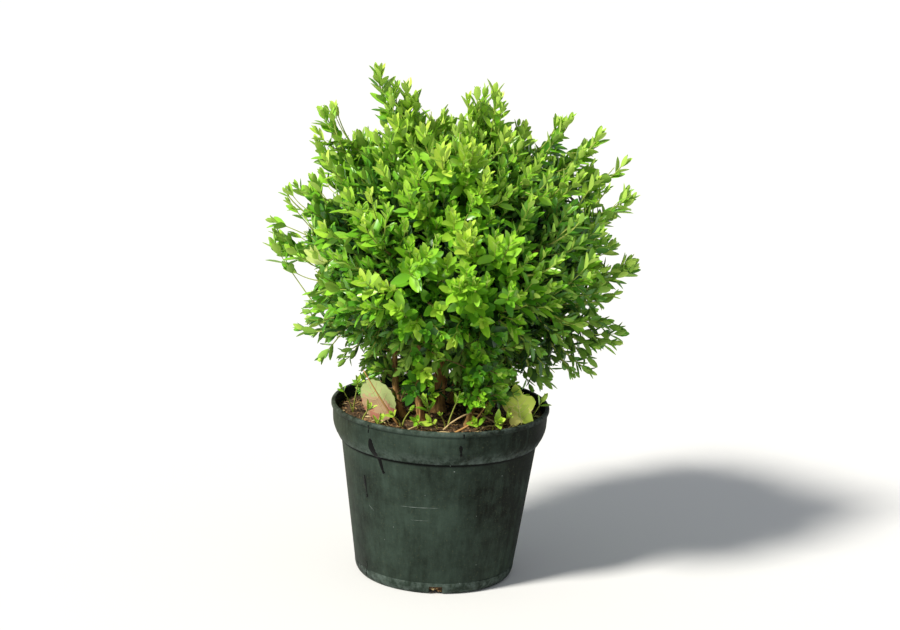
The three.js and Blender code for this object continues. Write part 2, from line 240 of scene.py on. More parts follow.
potShape = {
    "height": 184,
    "baseRadius": 77.5,
    "cornerRadius": 84.5,
    "cornerHeight": 12,
    # the wall from the rounded foot to the lip: radius, height
    "wall": [(84.6, 12.3), (84.1, 12.8), (84.7, 13.4), (103.3, 146.4), (103.5, 146.8), (105.7, 147.2),
             (106.1, 147.7), (107.7, 150.8), (109.3, 153.6), (110.6, 156.8), (111.7, 160.0), (112.4, 163.4),
             (112.9, 170.0), (113.2, 178.4), (113.9, 178.8), (114.6, 179.3), (115.0, 180.4), (115.0, 182.6),
             (114.5, 183.6), (113.5, 184)],
    "brim": [(112.3, 184), (111.2, 183.8), (110.8, 183.0)],  # from the lip down to the inside of the wall
    "thickness": 2.2,
    "floor": 2.6,
    "sides": 180,
    "sag": 0.35,  # thin plastic is never quite round
    "notches": {"turns": (-88, 2, 92, 182), "width": 15, "height": 9, "depth": 30, "narrower": 0.9},
    "sharpFrom": 50,  # degrees between faces
}
# black recycled polypropylene, injection moulded and weathered: a dull sheen, chalky film and soil dust
plasticLook = {
    "dark": "#10160F",
    "light": "#3F4E44",
    "dust": "#55583F",
    "rubbed": "#7D8B85",
    # painted shadow under the band's ledge
    "bandShadow": "#070A08",
    "roughness": (0.5, 0.68),
    "sheen": 0.06,  # of the plain plastic's: the film of dust takes the rest
    "patterns": {  # mm across, detail and roughness
        "streaks": (5, 3.0, 0.65),
        "clouds": (55, 5.0, 0.6),
        "mottle": (11, 5.0, 0.75),
        "grain": (1.8, 2.0, 0.7),
    },
    "streakLength": 70,
    "film": (0.58, 1.16),  # where the film starts and is full
    "filmShares": (0.4, 0.45),  # how much the streaks and the mottle count beside the clouds
    "potSideShade": (-0.02, 0.03, 0.115, 0.34),  # m: where, and from and to which side of it how much is lost: painted shade darkening the pot towards both sides
    # m, where each starts and is full, and how much then
    # the lip's paler top is partly rubbed and partly a painted highlight
    "rubbedLipAndHighlight": (0.1785, 0.1835, 0.3),
    "rubbedFoot": (0.0135, 0.0122, 0.35),
    "dustyLedge": (0.1600, 0.1480, 0.35),
    "dustyEdge": (-0.080, -0.113, 0.5),
    "blots": (0.42, 0.64),  # of the mottle
    "specks": (0.6, 0.74, 0.45),  # of the grain
    "smoother": (0.35, 0.65),  # of the clouds
    "bandShadowLine": (0.1458, 0.0005, 0.0026),  # m: painted shadow under the band: its height, half width, and where it has faded
    "bump": (0.25, 0.12),  # strength and mm
}
potMarks = {  # on the wall: turn and height where each starts and ends, and its width
    "runs": [(-128.6, 167, -123.2, 130, 11.5), (-139.2, 121, -137.9, 98, 4.4),
             (-78.6, 170, -78.0, 158.5, 4.0), (-144.6, 22, -146.6, 6, 2.0),
             (-129.0, 182, -129.6, 173.5, 2.2), (-77.4, 182.6, -77.2, 178.4, 2.2)],
    "scratches": [(-112.5, 97.0, -88.2, 98.6, 0.9), (-106, 83.0, -94, 83.8, 0.5),
                  (-136.7, 88.8, -132.4, 84.0, 0.7)],
    "specks": [(-80.6, 139.4, 1.5), (-49.1, 129.6, 1.2), (-83.1, 146.0, 0.9), (-117.8, 71.7, 1.1),
               (-60, 32, 1.0), (-71, 12.5, 1.3), (-125, 55, 0.9), (-97, 112, 0.8), (-64, 88, 0.8)],
    "lifts": {"run": 0.3, "drop": 0.7, "scratch": 0.12, "speck": 0.3},  # how far each stands out
    "sunk": 0.05,  # and how deep its edges lie in the wall
    "swell": (0.42, 0.58, 0.25),  # a run's least width, the rest, and where along it that is full
    "drop": (0.75, 4.2),  # at a run's end: its share of the width, and the widest
    "wet": "#030504",
    "scuff": "#66706A",
}


def potProfile(inset, floor):
    base, corner, top = potShape["baseRadius"], potShape["cornerRadius"], potShape["cornerHeight"]
    foot = []
    for i in range(9):
        angle = i / 8 * math.pi / 2
        foot.append((base + (corner - base) * math.sin(angle), floor + (top - floor) * (1 - math.cos(angle))))
    return np.array([(radius - inset, height) for radius, height in foot + potShape["wall"]])


def turned(profile, sides, sag=0.0):  # radius and height, from the middle of one end to the other's
    angles = np.arange(sides) * 2 * math.pi / sides
    inner = profile[1:-1]
    oval = sag * (0.5 + 0.5 * np.cos(2 * angles + 0.7))
    radii = inner[:, :1] - oval[None] * inner[:, 1:] / potShape["height"]
    heights = np.repeat(inner[:, 1:], sides, axis=1)
    points = np.stack([radii * np.cos(angles), radii * np.sin(angles), heights], axis=2)
    points = np.concatenate([points.reshape(-1, 3), [(0, 0, profile[0][1]), (0, 0, profile[-1][1])]])
    last = len(inner) - 1
    triangles = []
    for side in range(sides):
        after = (side + 1) % sides
        for ring in range(last):
            a, b = ring * sides + side, ring * sides + after
            triangles += [(a, b, b + sides), (a, b + sides, a + sides)]
        triangles.append((len(points) - 2, after, side))
        triangles.append((len(points) - 1, last * sides + side, last * sides + after))
    return points, np.array(triangles)


def plasticMaterial():
    look = {"IOR": 1.49, "Specular IOR Level": plasticLook["sheen"]}
    material, tree, shader = startMaterial("moulded polypropylene, weathered", look)
    spot = addNode(tree, "TexCoord").outputs["Object"]
    parts = addNode(tree, "SeparateXYZ", {"Vector": spot}).outputs
    squeeze = plasticLook["patterns"]["streaks"][0] / plasticLook["streakLength"]
    upright = addNode(tree, "Mapping", {"Vector": spot, "Scale": (1, 1, squeeze)}).outputs["Vector"]
    patterns = {}
    for name, (size, detail, roughness) in plasticLook["patterns"].items():
        place = upright if name == "streaks" else spot
        inputs = {"Vector": place, "Scale": 1 / (size * mm), "Detail": detail, "Roughness": roughness}
        patterns[name] = addNode(tree, "TexNoise", inputs).outputs["Fac"]
    # the chalky film is cloudy, mottled and a little streaky, and the pot darkens towards both sides with
    # painted shade
    streakShare, mottleShare = plasticLook["filmShares"]
    streaky = addNode(tree, "Math", {0: patterns["streaks"], 1: streakShare, 2: patterns["clouds"]},
                      operation="MULTIPLY_ADD")
    both = addNode(tree, "Math", {0: patterns["mottle"], 1: mottleShare, 2: streaky.outputs["Value"]},
                   operation="MULTIPLY_ADD")
    # painted shade: the colour darkens with distance from the pot's middle
    middle, near, far, sideShadeMost = plasticLook["potSideShade"]
    fromMiddle = addNode(tree, "Math", {0: parts["X"], 1: middle}, operation="SUBTRACT")
    beside = addNode(tree, "Math", {0: fromMiddle.outputs["Value"]}, operation="ABSOLUTE")
    paintedSideShade = addNode(tree, "MapRange", {"Value": beside.outputs["Value"], "From Min": near, "From Max": far,
                                         "To Max": sideShadeMost})
    chalkLessSideShade = addNode(tree, "Math", {0: both.outputs["Value"], 1: paintedSideShade.outputs["Result"]},
                    operation="SUBTRACT")
    filmFrom, filmFull = plasticLook["film"]
    film = addNode(tree, "MapRange", {"Value": chalkLessSideShade.outputs["Value"], "From Min": filmFrom,
                                      "From Max": filmFull})
    filmAndSideShade = addNode(tree, "Mix", {"Factor": film.outputs["Result"], "A": linear(plasticLook["dark"]),
                                 "B": linear(plasticLook["light"])}, data_type="RGBA")
    # the lip and the foot have been rubbed paler, the lip's top also lighter as a painted highlight, and pale
    # dust gathers in blots above the ledge
    places = {}
    for name, axis in (("rubbedLipAndHighlight", "Z"), ("rubbedFoot", "Z"), ("dustyLedge", "Z"), ("dustyEdge", "X")):
        start, full, most = plasticLook[name]
        inputs = {"Value": parts[axis], "From Min": start, "From Max": full, "To Max": most}
        places[name] = addNode(tree, "MapRange", inputs).outputs["Result"]
    height, half, faded = plasticLook["bandShadowLine"]
    above = addNode(tree, "Math", {0: parts["Z"], 1: height}, operation="GREATER_THAN")
    onLedge = addNode(tree, "Math", {0: places["dustyLedge"], 1: above.outputs["Value"]},
                      operation="MULTIPLY")
    ends = addNode(tree, "Math", {0: places["rubbedLipAndHighlight"], 1: places["rubbedFoot"]}, operation="ADD")
    paler = addNode(tree, "Math", {0: ends.outputs["Value"], 1: onLedge.outputs["Value"]}, operation="ADD")
    blotFrom, blotFull = plasticLook["blots"]
    blots = addNode(tree, "MapRange", {"Value": patterns["mottle"], "From Min": blotFrom,
                                       "From Max": blotFull})
    patches = addNode(tree, "Math", {0: paler.outputs["Value"], 1: blots.outputs["Result"]},
                      operation="MULTIPLY")
    plastic = addNode(tree, "Mix", {"Factor": patches.outputs["Value"], "A": filmAndSideShade.outputs["Result"],
                                    "B": linear(plasticLook["rubbed"])}, data_type="RGBA")
    # soil dust lies on the left edge and in specks
    patchy = addNode(tree, "Math", {0: places["dustyEdge"], 1: patterns["clouds"]}, operation="MULTIPLY")
    speckFrom, speckFull, speckMost = plasticLook["specks"]
    specks = addNode(tree, "MapRange", {"Value": patterns["grain"], "From Min": speckFrom,
                                        "From Max": speckFull, "To Max": speckMost})
    amount = addNode(tree, "Math", {0: patchy.outputs["Value"], 1: specks.outputs["Result"]},
                     operation="ADD", use_clamp=True)
    dusted = addNode(tree, "Mix", {"Factor": amount.outputs["Value"], "A": plastic.outputs["Result"],
                                   "B": linear(plasticLook["dust"])}, data_type="RGBA")
    # a painted shadow darkens the wall along the ledge under the band
    fromLine = addNode(tree, "Math", {0: parts["Z"], 1: height}, operation="SUBTRACT")
    away = addNode(tree, "Math", {0: fromLine.outputs["Value"]}, operation="ABSOLUTE")
    bandShadowMask = addNode(tree, "MapRange", {"Value": away.outputs["Value"], "From Min": faded, "From Max": half})
    lined = addNode(tree, "Mix", {"Factor": bandShadowMask.outputs["Result"], "A": dusted.outputs["Result"],
                                  "B": linear(plasticLook["bandShadow"])}, data_type="RGBA")
    clear, cloudy = plasticLook["smoother"]
    least, most = plasticLook["roughness"]
    rough = addNode(tree, "MapRange", {"Value": patterns["clouds"], "From Min": clear, "From Max": cloudy,
                                       "To Min": least, "To Max": most})
    strength, depth = plasticLook["bump"]
    bump = addNode(tree, "Bump", {"Height": patterns["grain"], "Strength": strength, "Distance": depth * mm})
    tree.links.new(lined.outputs["Result"], shader.inputs["Base Color"])
    tree.links.new(rough.outputs["Result"], shader.inputs["Roughness"])
    tree.links.new(bump.outputs["Normal"], shader.inputs["Normal"])
    return material


def onWall(turn, height, lift):
    wall = potProfile(0, 0)
    radius = np.interp(height, wall[:, 1], wall[:, 0]) + lift
    around = math.radians(turn)
    return np.array([radius * math.cos(around), radius * math.sin(around), height])


def wallMark(start, end, widths, lift):  # a low, domed ribbon on the wall
    count = len(widths)
    turns = np.linspace(start[0], end[0], count)
    heights = np.linspace(start[1], end[1], count)
    middle = np.array([onWall(turn, height, lift) for turn, height in zip(turns, heights)])
    edges = np.array([onWall(turn, height, -potMarks["sunk"]) for turn, height in zip(turns, heights)])
    out = unit(middle * [1, 1, 0])
    across = unit(np.cross(np.gradient(middle, axis=0), out))
    half = across * np.asarray(widths)[:, None] / 2
    points = np.concatenate([edges - half, middle, edges + half])
    triangles = []
    for i in range(count - 1):
        for row in (0, count):
            a, b, c, d = row + i, row + i + 1, row + count + i + 1, row + count + i
            triangles += [(a, b, c), (a, c, d)]
    return points, np.array(triangles)


def makePot():
    outside = potProfile(0, 0)
    inside = potProfile(potShape["thickness"], potShape["floor"])[:-4][::-1]
    profile = np.concatenate([[(0, 0)], outside, potShape["brim"], inside, [(0, potShape["floor"])]])
    points, triangles = turned(profile, potShape["sides"], potShape["sag"])
    plastic = plasticMaterial()
    pot = meshPiece("nursery_pot", points, triangles, [plastic])
    notches = potShape["notches"]
    corners = []
    for turn in notches["turns"]:
        out, beside = wayTo(turn, 0), wayTo(turn + 90, 0)
        for far in (-0.5, 0.5):
            for hand in (-0.5, 0.5):
                for height in (-notches["height"], notches["height"]):
                    narrower = notches["narrower"] if height > 0 else 1
                    spot = out * (potShape["cornerRadius"] + far * notches["depth"])
                    corners.append(spot + beside * hand * narrower * notches["width"] + up * height)
    boxSides = ((0, 1, 3, 2), (4, 6, 7, 5), (0, 4, 5, 1), (2, 3, 7, 6), (0, 2, 6, 4), (1, 5, 7, 3))
    faces = []
    for i in range(len(notches["turns"])):
        for a, b, c, d in boxSides:
            faces += [(8 * i + a, 8 * i + b, 8 * i + c), (8 * i + a, 8 * i + c, 8 * i + d)]
    cutter = meshPiece("notches", corners, faces, [plastic], smooth=False)
    cut = pot.modifiers.new("drainage", "BOOLEAN")
    cut.operation = "DIFFERENCE"
    cut.solver = "EXACT"
    cut.object = cutter
    bpy.context.view_layer.update()
    cutMesh = bpy.data.meshes.new_from_object(pot.evaluated_get(bpy.context.evaluated_depsgraph_get()))
    pot.modifiers.clear()
    pot.data = cutMesh
    bpy.data.objects.remove(cutter)
    pot.data.polygons.foreach_set("use_smooth", np.full(len(pot.data.polygons), True))
    pot.data.set_sharp_from_angle(angle=math.radians(potShape["sharpFrom"]))
    seat(pot, "pot_plastic", "pot")


def makePotMarks():
    lifts = potMarks["lifts"]
    wetLook = {"Base Color": linear(potMarks["wet"]), "Roughness": 0.2, "IOR": 1.33,
               "Specular IOR Level": 0.2}
    wet = startMaterial("rain water run on plastic", wetLook)[0]
    scuffLook = {"Base Color": linear(potMarks["scuff"]), "Roughness": 0.7, "IOR": 1.49}
    scuff = startMaterial("scuffed polypropylene", scuffLook)[0]
    least, rest, fullest = potMarks["swell"]
    dropShare, widestDrop = potMarks["drop"]
    runs = []
    for turn, height, lastTurn, lastHeight, width in potMarks["runs"]:
        share = np.linspace(0, 1, 15)
        swell = least + rest * np.exp(-((share - fullest) / fullest) ** 2)
        widths = width * swell * np.sqrt(1 - (1 - share) ** 6 * 0.9) * np.sqrt(1 - share**6) + 0.05
        runs.append(wallMark((turn, height), (lastTurn, lastHeight), widths, lifts["run"]))
        drop = min(width * dropShare, widestDrop) * np.sin(np.linspace(0.15, math.pi - 0.05, 9))
        runs.append(wallMark((lastTurn, lastHeight + 2.2), (lastTurn, lastHeight - 1), drop, lifts["drop"]))
    points, triangles = joined(runs)
    seat(meshPiece("water_runs", points, triangles, [wet]), "pot_plastic", "pot")
    scratches = []
    for turn, height, lastTurn, lastHeight, width in potMarks["scratches"]:
        share = np.linspace(0, 1, 25)
        fading = np.sin(np.clip(share, 0.02, 0.98) * math.pi) ** 0.6
        widths = width * fading * (0.7 + 0.3 * np.sin(share * 23))
        scratches.append(wallMark((turn, height), (lastTurn, lastHeight), widths, lifts["scratch"]))
    for turn, height, size in potMarks["specks"]:
        widths = size * np.sin(np.linspace(0.06, 0.94, 7) * math.pi)
        start, end = (turn, height + size / 2), (turn + 0.3, height - size / 2)
        scratches.append(wallMark(start, end, widths, lifts["speck"]))
    points, triangles = joined(scratches)
    seat(meshPiece("scuffs", points, triangles, [scuff]), "pot_plastic", "pot")


makePot()
makePotMarks()
print("pot made")


# potting soil: a crumbly peat surface a little below the lip, with crumbs, bark chips and roots

soilLook = {
    "level": 171.5,
    "edge": 109.9,
    "rings": 70,
    "sides": 230,
    "lumps": [(26, 1.6), (9, 1.3), (3.5, 0.8)],  # mm across and high
    # how many, how large, how flat, and which of the tones below
    "crumbs": (1100, (1.6, 5.0), (0.6, 0.9), (0, 0, 1, 1, 2, 2)),
    "chips": (230, (4, 10), (0.15, 0.35), (1, 2, 2, 3)),
    "fromEdge": (3, 12),  # how far crumbs and roots stay from the wall
    "roots": 120,
    "rootLengths": (8, 22),
    "rootBend": 5,
    "rootRadii": (0.45, 0.25),
    "rootLift": (0.7, 1.2),  # least, and how much more at most
    "rootTone": 4,
    # pale roots and bits which show in the drainage notches
    "inNotches": {"count": 26, "turn": 2.2, "out": (76, 80), "heights": (3, 9), "sizes": (2, 4.5),
                  "flat": 0.7, "tones": (1, 2, 3, 3, 4)},
    "grain": 2.2,  # mm, of the surface itself
    "grainTones": (0.35, 0.7),  # where the damp colour ends and the dry one is full
    "bump": (0.9, 0.8),  # strength and mm
    "gap": (0.5, 0.4),  # to the wall and to the floor
    "fillingUnder": (4, 6),  # the wall of the filling and its top lie this far under the surface
    "damp": "#261D15",
    "dry": "#7C6245",
}
soilTones = {
    "peat": "#3B2E22",
    "crumb": "#5F4B36",
    "chip": "#947351",
    "straw": "#D6BF8C",
    "root": "#AE8D5C",
}


def soilHeight(x, y):
    height = soilLook["level"]
    for across, high in soilLook["lumps"]:
        height += high * noise.noise(Vector((x / across, y / across, across)))
    return height


def peatMaterial():
    material, tree, shader = startMaterial("moist potting peat", {"Roughness": 0.95, "IOR": 1.35})
    place = addNode(tree, "TexCoord")
    grain = addNode(tree, "TexNoise", {"Vector": place.outputs["Object"], "Detail": 3.0, "Roughness": 0.7,
                                       "Scale": 1 / (soilLook["grain"] * mm)})
    ramp = addNode(tree, "ValToRGB", {"Fac": grain.outputs["Fac"]})
    for element, position, tone in zip(ramp.color_ramp.elements, soilLook["grainTones"], ("damp", "dry")):
        element.position = position
        element.color = linear(soilLook[tone])
    strength, depth = soilLook["bump"]
    bump = addNode(tree, "Bump", {"Height": grain.outputs["Fac"], "Strength": strength,
                                  "Distance": depth * mm})
    tree.links.new(ramp.outputs["Color"], shader.inputs["Base Color"])
    tree.links.new(bump.outputs["Normal"], shader.inputs["Normal"])
    return material


def lump(spot, size, flat, turn):  # an irregular bit with eight faces
    ways = np.array([(1, 0, 0), (-1, 0, 0), (0, 1, 0), (0, -1, 0), (0, 0, 1), (0, 0, -1)], float)
    halves = np.array([size, size * rng.uniform(0.45, 0.9), size * flat]) / 2
    points = ways * (1 + rng.normal(0, 0.22, (6, 1))) * halves
    around = np.array([[math.cos(turn), -math.sin(turn), 0], [math.sin(turn), math.cos(turn), 0], [0, 0, 1]])
    tilt = rng.normal(0, 0.35)
    lean = np.array([[1, 0, 0], [0, math.cos(tilt), -math.sin(tilt)], [0, math.sin(tilt), math.cos(tilt)]])
    triangles = [(0, 2, 4), (2, 1, 4), (1, 3, 4), (3, 0, 4), (2, 0, 5), (1, 2, 5), (3, 1, 5), (0, 3, 5)]
    return spot + points @ lean.T @ around.T, np.array(triangles)


def makeSoil():
    edge, sides, rings = soilLook["edge"], soilLook["sides"], soilLook["rings"]
    points = [(0, 0, soilHeight(0, 0))]
    for ring in range(1, rings + 1):
        radius = edge * ring / rings
        for side in range(sides):
            angle = 2 * math.pi * side / sides
            x, y = radius * math.cos(angle), radius * math.sin(angle)
            points.append((x, y, soilHeight(x, y)))
    wallGap, floorGap = soilLook["gap"]
    wallUnder, topUnder = soilLook["fillingUnder"]
    floor = potShape["floor"] + floorGap
    filling = potProfile(potShape["thickness"] + wallGap, floor)
    filling = filling[filling[:, 1] < soilLook["level"] - wallUnder]
    filling = np.concatenate([[(0, floor)], filling, [(0, soilLook["level"] - topUnder)]])
    points, triangles = joined([(np.array(points), discFaces(rings, sides)), turned(filling, 72)])
    seat(meshPiece("peat", points, triangles, [peatMaterial()]), "potting_soil", "soil")


def makeCrumbs():
    kinds = []
    for name, colour in soilTones.items():
        look = {"Base Color": linear(colour), "Roughness": 0.9, "IOR": 1.35}
        kinds.append(startMaterial("potting soil, " + name, look)[0])
    crumbsInside, rootsInside = soilLook["fromEdge"]
    bits, slots = [], []
    for count, sizes, flats, tones in (soilLook["crumbs"], soilLook["chips"]):
        for i in range(count):
            radius = (soilLook["edge"] - crumbsInside) * math.sqrt(rng.random())
            turn = rng.random() * 2 * math.pi
            x, y = radius * math.cos(turn), radius * math.sin(turn)
            size = rng.uniform(*sizes)
            flat = rng.uniform(*flats)
            spot = np.array([x, y, soilHeight(x, y) + size * flat * 0.2])
            bits.append(lump(spot, size, flat, rng.random() * math.pi))
            slots.append(np.full(len(bits[-1][1]), rng.choice(tones)))
    lift, liftMore = soilLook["rootLift"]
    for i in range(soilLook["roots"]):
        radius = (soilLook["edge"] - rootsInside) * math.sqrt(rng.random())
        turn = rng.random() * 2 * math.pi
        foot = np.array([radius * math.cos(turn), radius * math.sin(turn), 0])
        way = wayTo(rng.random() * 360, 0) * rng.uniform(*soilLook["rootLengths"])
        bend = wayTo(rng.random() * 360, 0) * soilLook["rootBend"]
        path = bezier(foot, foot + way / 3 + bend, foot + way * 2 / 3 - bend, foot + way, 7)
        path[:, 2] = [soilHeight(x, y) + lift + rng.uniform(0, liftMore) for x, y, z in path]
        bits.append(tube(path, np.linspace(*soilLook["rootRadii"], 7), 4))
        slots.append(np.full(len(bits[-1][1]), soilLook["rootTone"]))
    notch = soilLook["inNotches"]
    for turn in potShape["notches"]["turns"]:
        for i in range(notch["count"]):
            out = wayTo(turn + rng.normal(0, notch["turn"]), 0) * rng.uniform(*notch["out"])
            spot = out + up * rng.uniform(*notch["heights"])
            bits.append(lump(spot, rng.uniform(*notch["sizes"]), notch["flat"], rng.random() * math.pi))
            slots.append(np.full(len(bits[-1][1]), rng.choice(notch["tones"])))
    points, triangles = joined(bits)
    piece = meshPiece("crumbs", points, triangles, kinds, np.concatenate(slots), smooth=False)
    seat(piece, "potting_soil", "soil")


makeSoil()
makeCrumbs()
print("soil made")


# on the soil: dry stalks and two large fallen leaves from another plant

litter = {
    "stalks": [  # foot, tip, how much it arches, radius
        ((-34, -74), (-3, -36), 3, 1.0), ((4, -66), (60, -40), 16, 0.9), ((38, -76), (58, -48), 5, 0.8),
        ((-70, -44), (-52, -68), 4, 0.7), ((66, -70), (84, -46), 5, 0.6), ((20, -84), (-8, -78), 3, 0.6),
    ],
    "stalk": "#D2B783",
    # dead twigs of the shrub itself: foot, bend and tip
    "deadTwigs": [((-42, -54, 172), (-60, -58, 198), (-80, -60, 231)),
                  ((16, -68, 171), (36, -66, 182), (50, -62, 206)),
                  ((-22, -58, 171), (-20, -56, 185), (-22, -58, 198))],
    "deadTwig": "#B98D52",
    "deadTwigRadii": (1.3, 0.6),
    # both leaves stand on edge against the stems: how wide, how deeply lobed, how much cupped
    "blush": {"foot": (-53, -46, 173), "tip": (-76, -38, 212), "width": 35, "lobes": 0.0, "curl": 9,
              "tones": ("#A9B673", "#BE806A", "#BE9E78", "#C0AC7C")},
    "lobed": {"foot": (85, -57, 176), "tip": (77, -52, 214), "width": 31, "lobes": 0.19, "curl": 7,
              "tones": ("#D9EC5E", "#F2F084", "#C4DE4F", "#E4E68E")},
    "sectors": 60,
    "rings": 11,
    "veins": (0.22, 0.4, 0.57, 0.73),  # where the side veins leave the midrib
    "veinRadii": (0.7, 0.35),
}


# x runs across the leaf and y along it, from its middle
def onLeaf(leaf, x, y):
    foot, tip = np.array(leaf["foot"], float), np.array(leaf["tip"], float)
    along = unit(tip - foot)
    across = unit(np.cross(along, [0.2, 1.0, 0.1]))
    cup = 2 * leaf["curl"] * (x / leaf["width"]) ** 2 - 0.07 * abs(x)
    ripple = 0.9 * noise.noise(Vector((x * 0.09, y * 0.09, leaf["width"])))
    return (foot + tip) / 2 + across * x + along * y + np.cross(across, along) * (cup + ripple)


def fallenLeaf(leaf):  # rings of points round the leaf's middle
    sectors, rings = litter["sectors"], litter["rings"]
    length = math.dist(leaf["foot"], leaf["tip"])
    points = [onLeaf(leaf, 0, 0)]
    for ring in range(1, rings + 1):
        for sector in range(sectors):
            angle = 2 * math.pi * sector / sectors
            rim = 1 + leaf["lobes"] * math.cos(5 * angle) + 0.025 * math.cos(19 * angle + 1)
            rim *= ring / rings
            x = math.sin(angle) * leaf["width"] / 2 * rim
            y = math.cos(angle) * length / 2 * rim * (1 + 0.12 * math.cos(angle))
            points.append(onLeaf(leaf, x, y))
    return np.array(points), discFaces(rings, sectors)


def leafVeins(leaf):
    length = math.dist(leaf["foot"], leaf["tip"])
    thick, thin = litter["veinRadii"]
    midrib = np.array([onLeaf(leaf, 0, y) for y in np.linspace(-0.56, 0.5, 14) * length])
    veins = [tube(midrib, np.linspace(thick, thin, 14), 5)]
    for start in litter["veins"]:
        for hand in (-1, 1):
            share = np.linspace(0, 1, 8)
            reachAcross = leaf["width"] * 0.36 * math.sin(math.pi * (start * 0.7 + 0.25))
            x, y = hand * share * reachAcross, (start - 0.5 + 0.2 * share**1.4) * length
            spots = [onLeaf(leaf, a, b) for a, b in zip(x, y)]
            veins.append(tube(np.array(spots), np.linspace(thin, thin * 0.7, 8), 4))
    return joined(veins)


def makeLitter():
    straw = startMaterial("dry stalk", {"Base Color": linear(litter["stalk"]), "Roughness": 0.75})[0]
    stalks = []
    for foot, tip, arch, radius in litter["stalks"]:
        path = np.linspace((*foot, 0), (*tip, 0), 9).astype(float)
        lift = arch * np.sin(np.linspace(0, math.pi, 9)) + 1.0
        path[:, 2] = [soilHeight(x, y) for x, y, z in path] + lift
        stalks.append(tube(path, np.full(9, radius), 6))
    points, triangles = joined(stalks)
    seat(meshPiece("dry_stalks", points, triangles, [straw]), "potting_soil", "soil")
    deadLook = {"Base Color": linear(litter["deadTwig"]), "Roughness": 0.8}
    dead = startMaterial("dead box twig", deadLook)[0]
    twigs = []
    for foot, bend, tip in np.array(litter["deadTwigs"], float):
        path = evenly(bezier(foot, bend, bend, tip, 24), 12)
        twigs.append(tube(path, np.linspace(*litter["deadTwigRadii"], 12), 6))
    points, triangles = joined(twigs)
    seat(meshPiece("dead_twigs", points, triangles, [dead]), "bark", "soil")
    for name in ("blush", "lobed"):
        leaf = litter[name]
        kinds = []
        for i, colour in enumerate(leaf["tones"]):
            look = {"Base Color": linear(colour), "Roughness": 0.55}
            kinds.append(startMaterial(f"fallen leaf, {name} {i}", look)[0])
        blade, veins = fallenLeaf(leaf), leafVeins(leaf)
        centres = blade[0][blade[1]].mean(axis=1)
        broad = np.array([noise.noise(Vector(spot * 0.06)) for spot in centres])
        patch = broad + 0.6 * np.array([noise.noise(Vector(spot * 0.2)) for spot in centres])
        height = (centres[:, 2] - centres[:, 2].min()) / np.ptp(centres[:, 2])
        slots = np.select([height + patch * 0.35 > 0.5, patch > -0.05], [0, 1], 2)
        slots = np.concatenate([slots, np.full(len(veins[1]), 3)])
        points, triangles = joined([blade, veins])
        seat(meshPiece("fallen_leaf_" + name, points, triangles, kinds, slots), "foliage", "soil")


makeLitter()
print("litter made")


# the crown's rule, as in the part's source: its reach, and a mass of foliage round each heart

crown = {
    "centre": np.array([5.0, 0.0, 350.0]),
    "sideReach": 180,
    "topReach": 152,
    "footReach": 157,
    "topFullness": 2.3,
    "footFullness": 3,
    "lowest": 190,
    "branches": 116,
    "tipScatter": 0.09,
    "sideHeart": (82, -16),  # out from the axis, above the centre
    "topHeart": (44, 62),
    "hiddenTurn": 97,  # the front and back have the outline's shoots too, turned this far,
    "hiddenShare": 0.8,
    "steepest": 48,  # but for the ones nearest the top and the pot
}

# the outline's furthest shoots and dips: turn, rise, how far past the plain reach, how wide in degrees
outlineTufts = [
    (0, 77, 24, 8), (180, 72, 22, 4), (180, 65, 48, 4), (180, 44, 30, 8), (180, 16, 9, 6),
    (180, 2, 11, 7), (0, 50, 22, 5), (0, 40, 24, 5), (0, 29, 28, 5), (0, 18, 22, 5),
    (0, -5, 18, 6), (0, -28, 20, 8), (0, -40, 14, 6), (180, 87, -18, 7), (180, 55, -8, 4),
    (180, 28, -9, 6), (0, 58, -14, 5), (0, 9, -12, 5), (180, -16, -14, 8), (234, -50, -20, 16),
]
tufts = []
for turn, rise, extra, spread in outlineTufts:
    tufts.append((wayTo(turn, rise), extra, math.radians(spread)))
    if abs(rise) <= crown["steepest"]:
        hidden = wayTo(turn + crown["hiddenTurn"], rise)
        tufts.append((hidden, extra * crown["hiddenShare"], math.radians(spread)))


def reach(ways):
    ways = np.atleast_2d(ways)
    above = ways[:, 2] > 0
    fullness = np.where(above, crown["topFullness"], crown["footFullness"])
    level = np.hypot(ways[:, 0], ways[:, 1]) / crown["sideReach"]
    upright = np.abs(ways[:, 2]) / np.where(above, crown["topReach"], crown["footReach"])
    far = (level**fullness + upright**fullness) ** (-1 / fullness)
    for way, extra, width in tufts:
        angle = np.arccos(np.clip(ways @ way, -1, 1))
        far = far + extra * np.exp(-((angle / width) ** 2))
    return far


def spiral(count):
    i = np.arange(count)
    rise = np.arcsin(1 - (2 * i + 1) / count)
    turn = i * math.pi * (3 - math.sqrt(5))
    return np.stack([np.cos(rise) * np.cos(turn), np.cos(rise) * np.sin(turn), np.sin(rise)], axis=1)


stems = {
    "soilLevel": 172.3,
    "side": {"radii": (3.5, 2.2), "flare": 0.4, "foot": (38, 22), "tip": (75, 42)},
    "middle": {"radii": (7.6, 6.8), "flare": 0.45, "foot": (30, 0), "tip": (30, 0)},
    "bough": {"radii": (3.1, 2.2), "flare": 0, "foot": (30, 2), "tip": (45, 22)},
    "middleFoot": (-4, 7),
    "fork": (4, 0, 258),
    "forkSpacing": 3.8,
    "flareHeight": 0.1,  # of a limb's length
}
sideMasses = [  # side, turn, and the turn and distance of the stem's foot
    ("right", 0, 20, 42), ("back_right", 60, 75, 40), ("back_left", 120, 128, 36),
    ("left", 180, 208, 43), ("front_left", 240, 237, 34), ("front_right", 300, 303, 53),
]
topMasses = [("top_right", 30), ("top_left", 150), ("top_front", 270)]


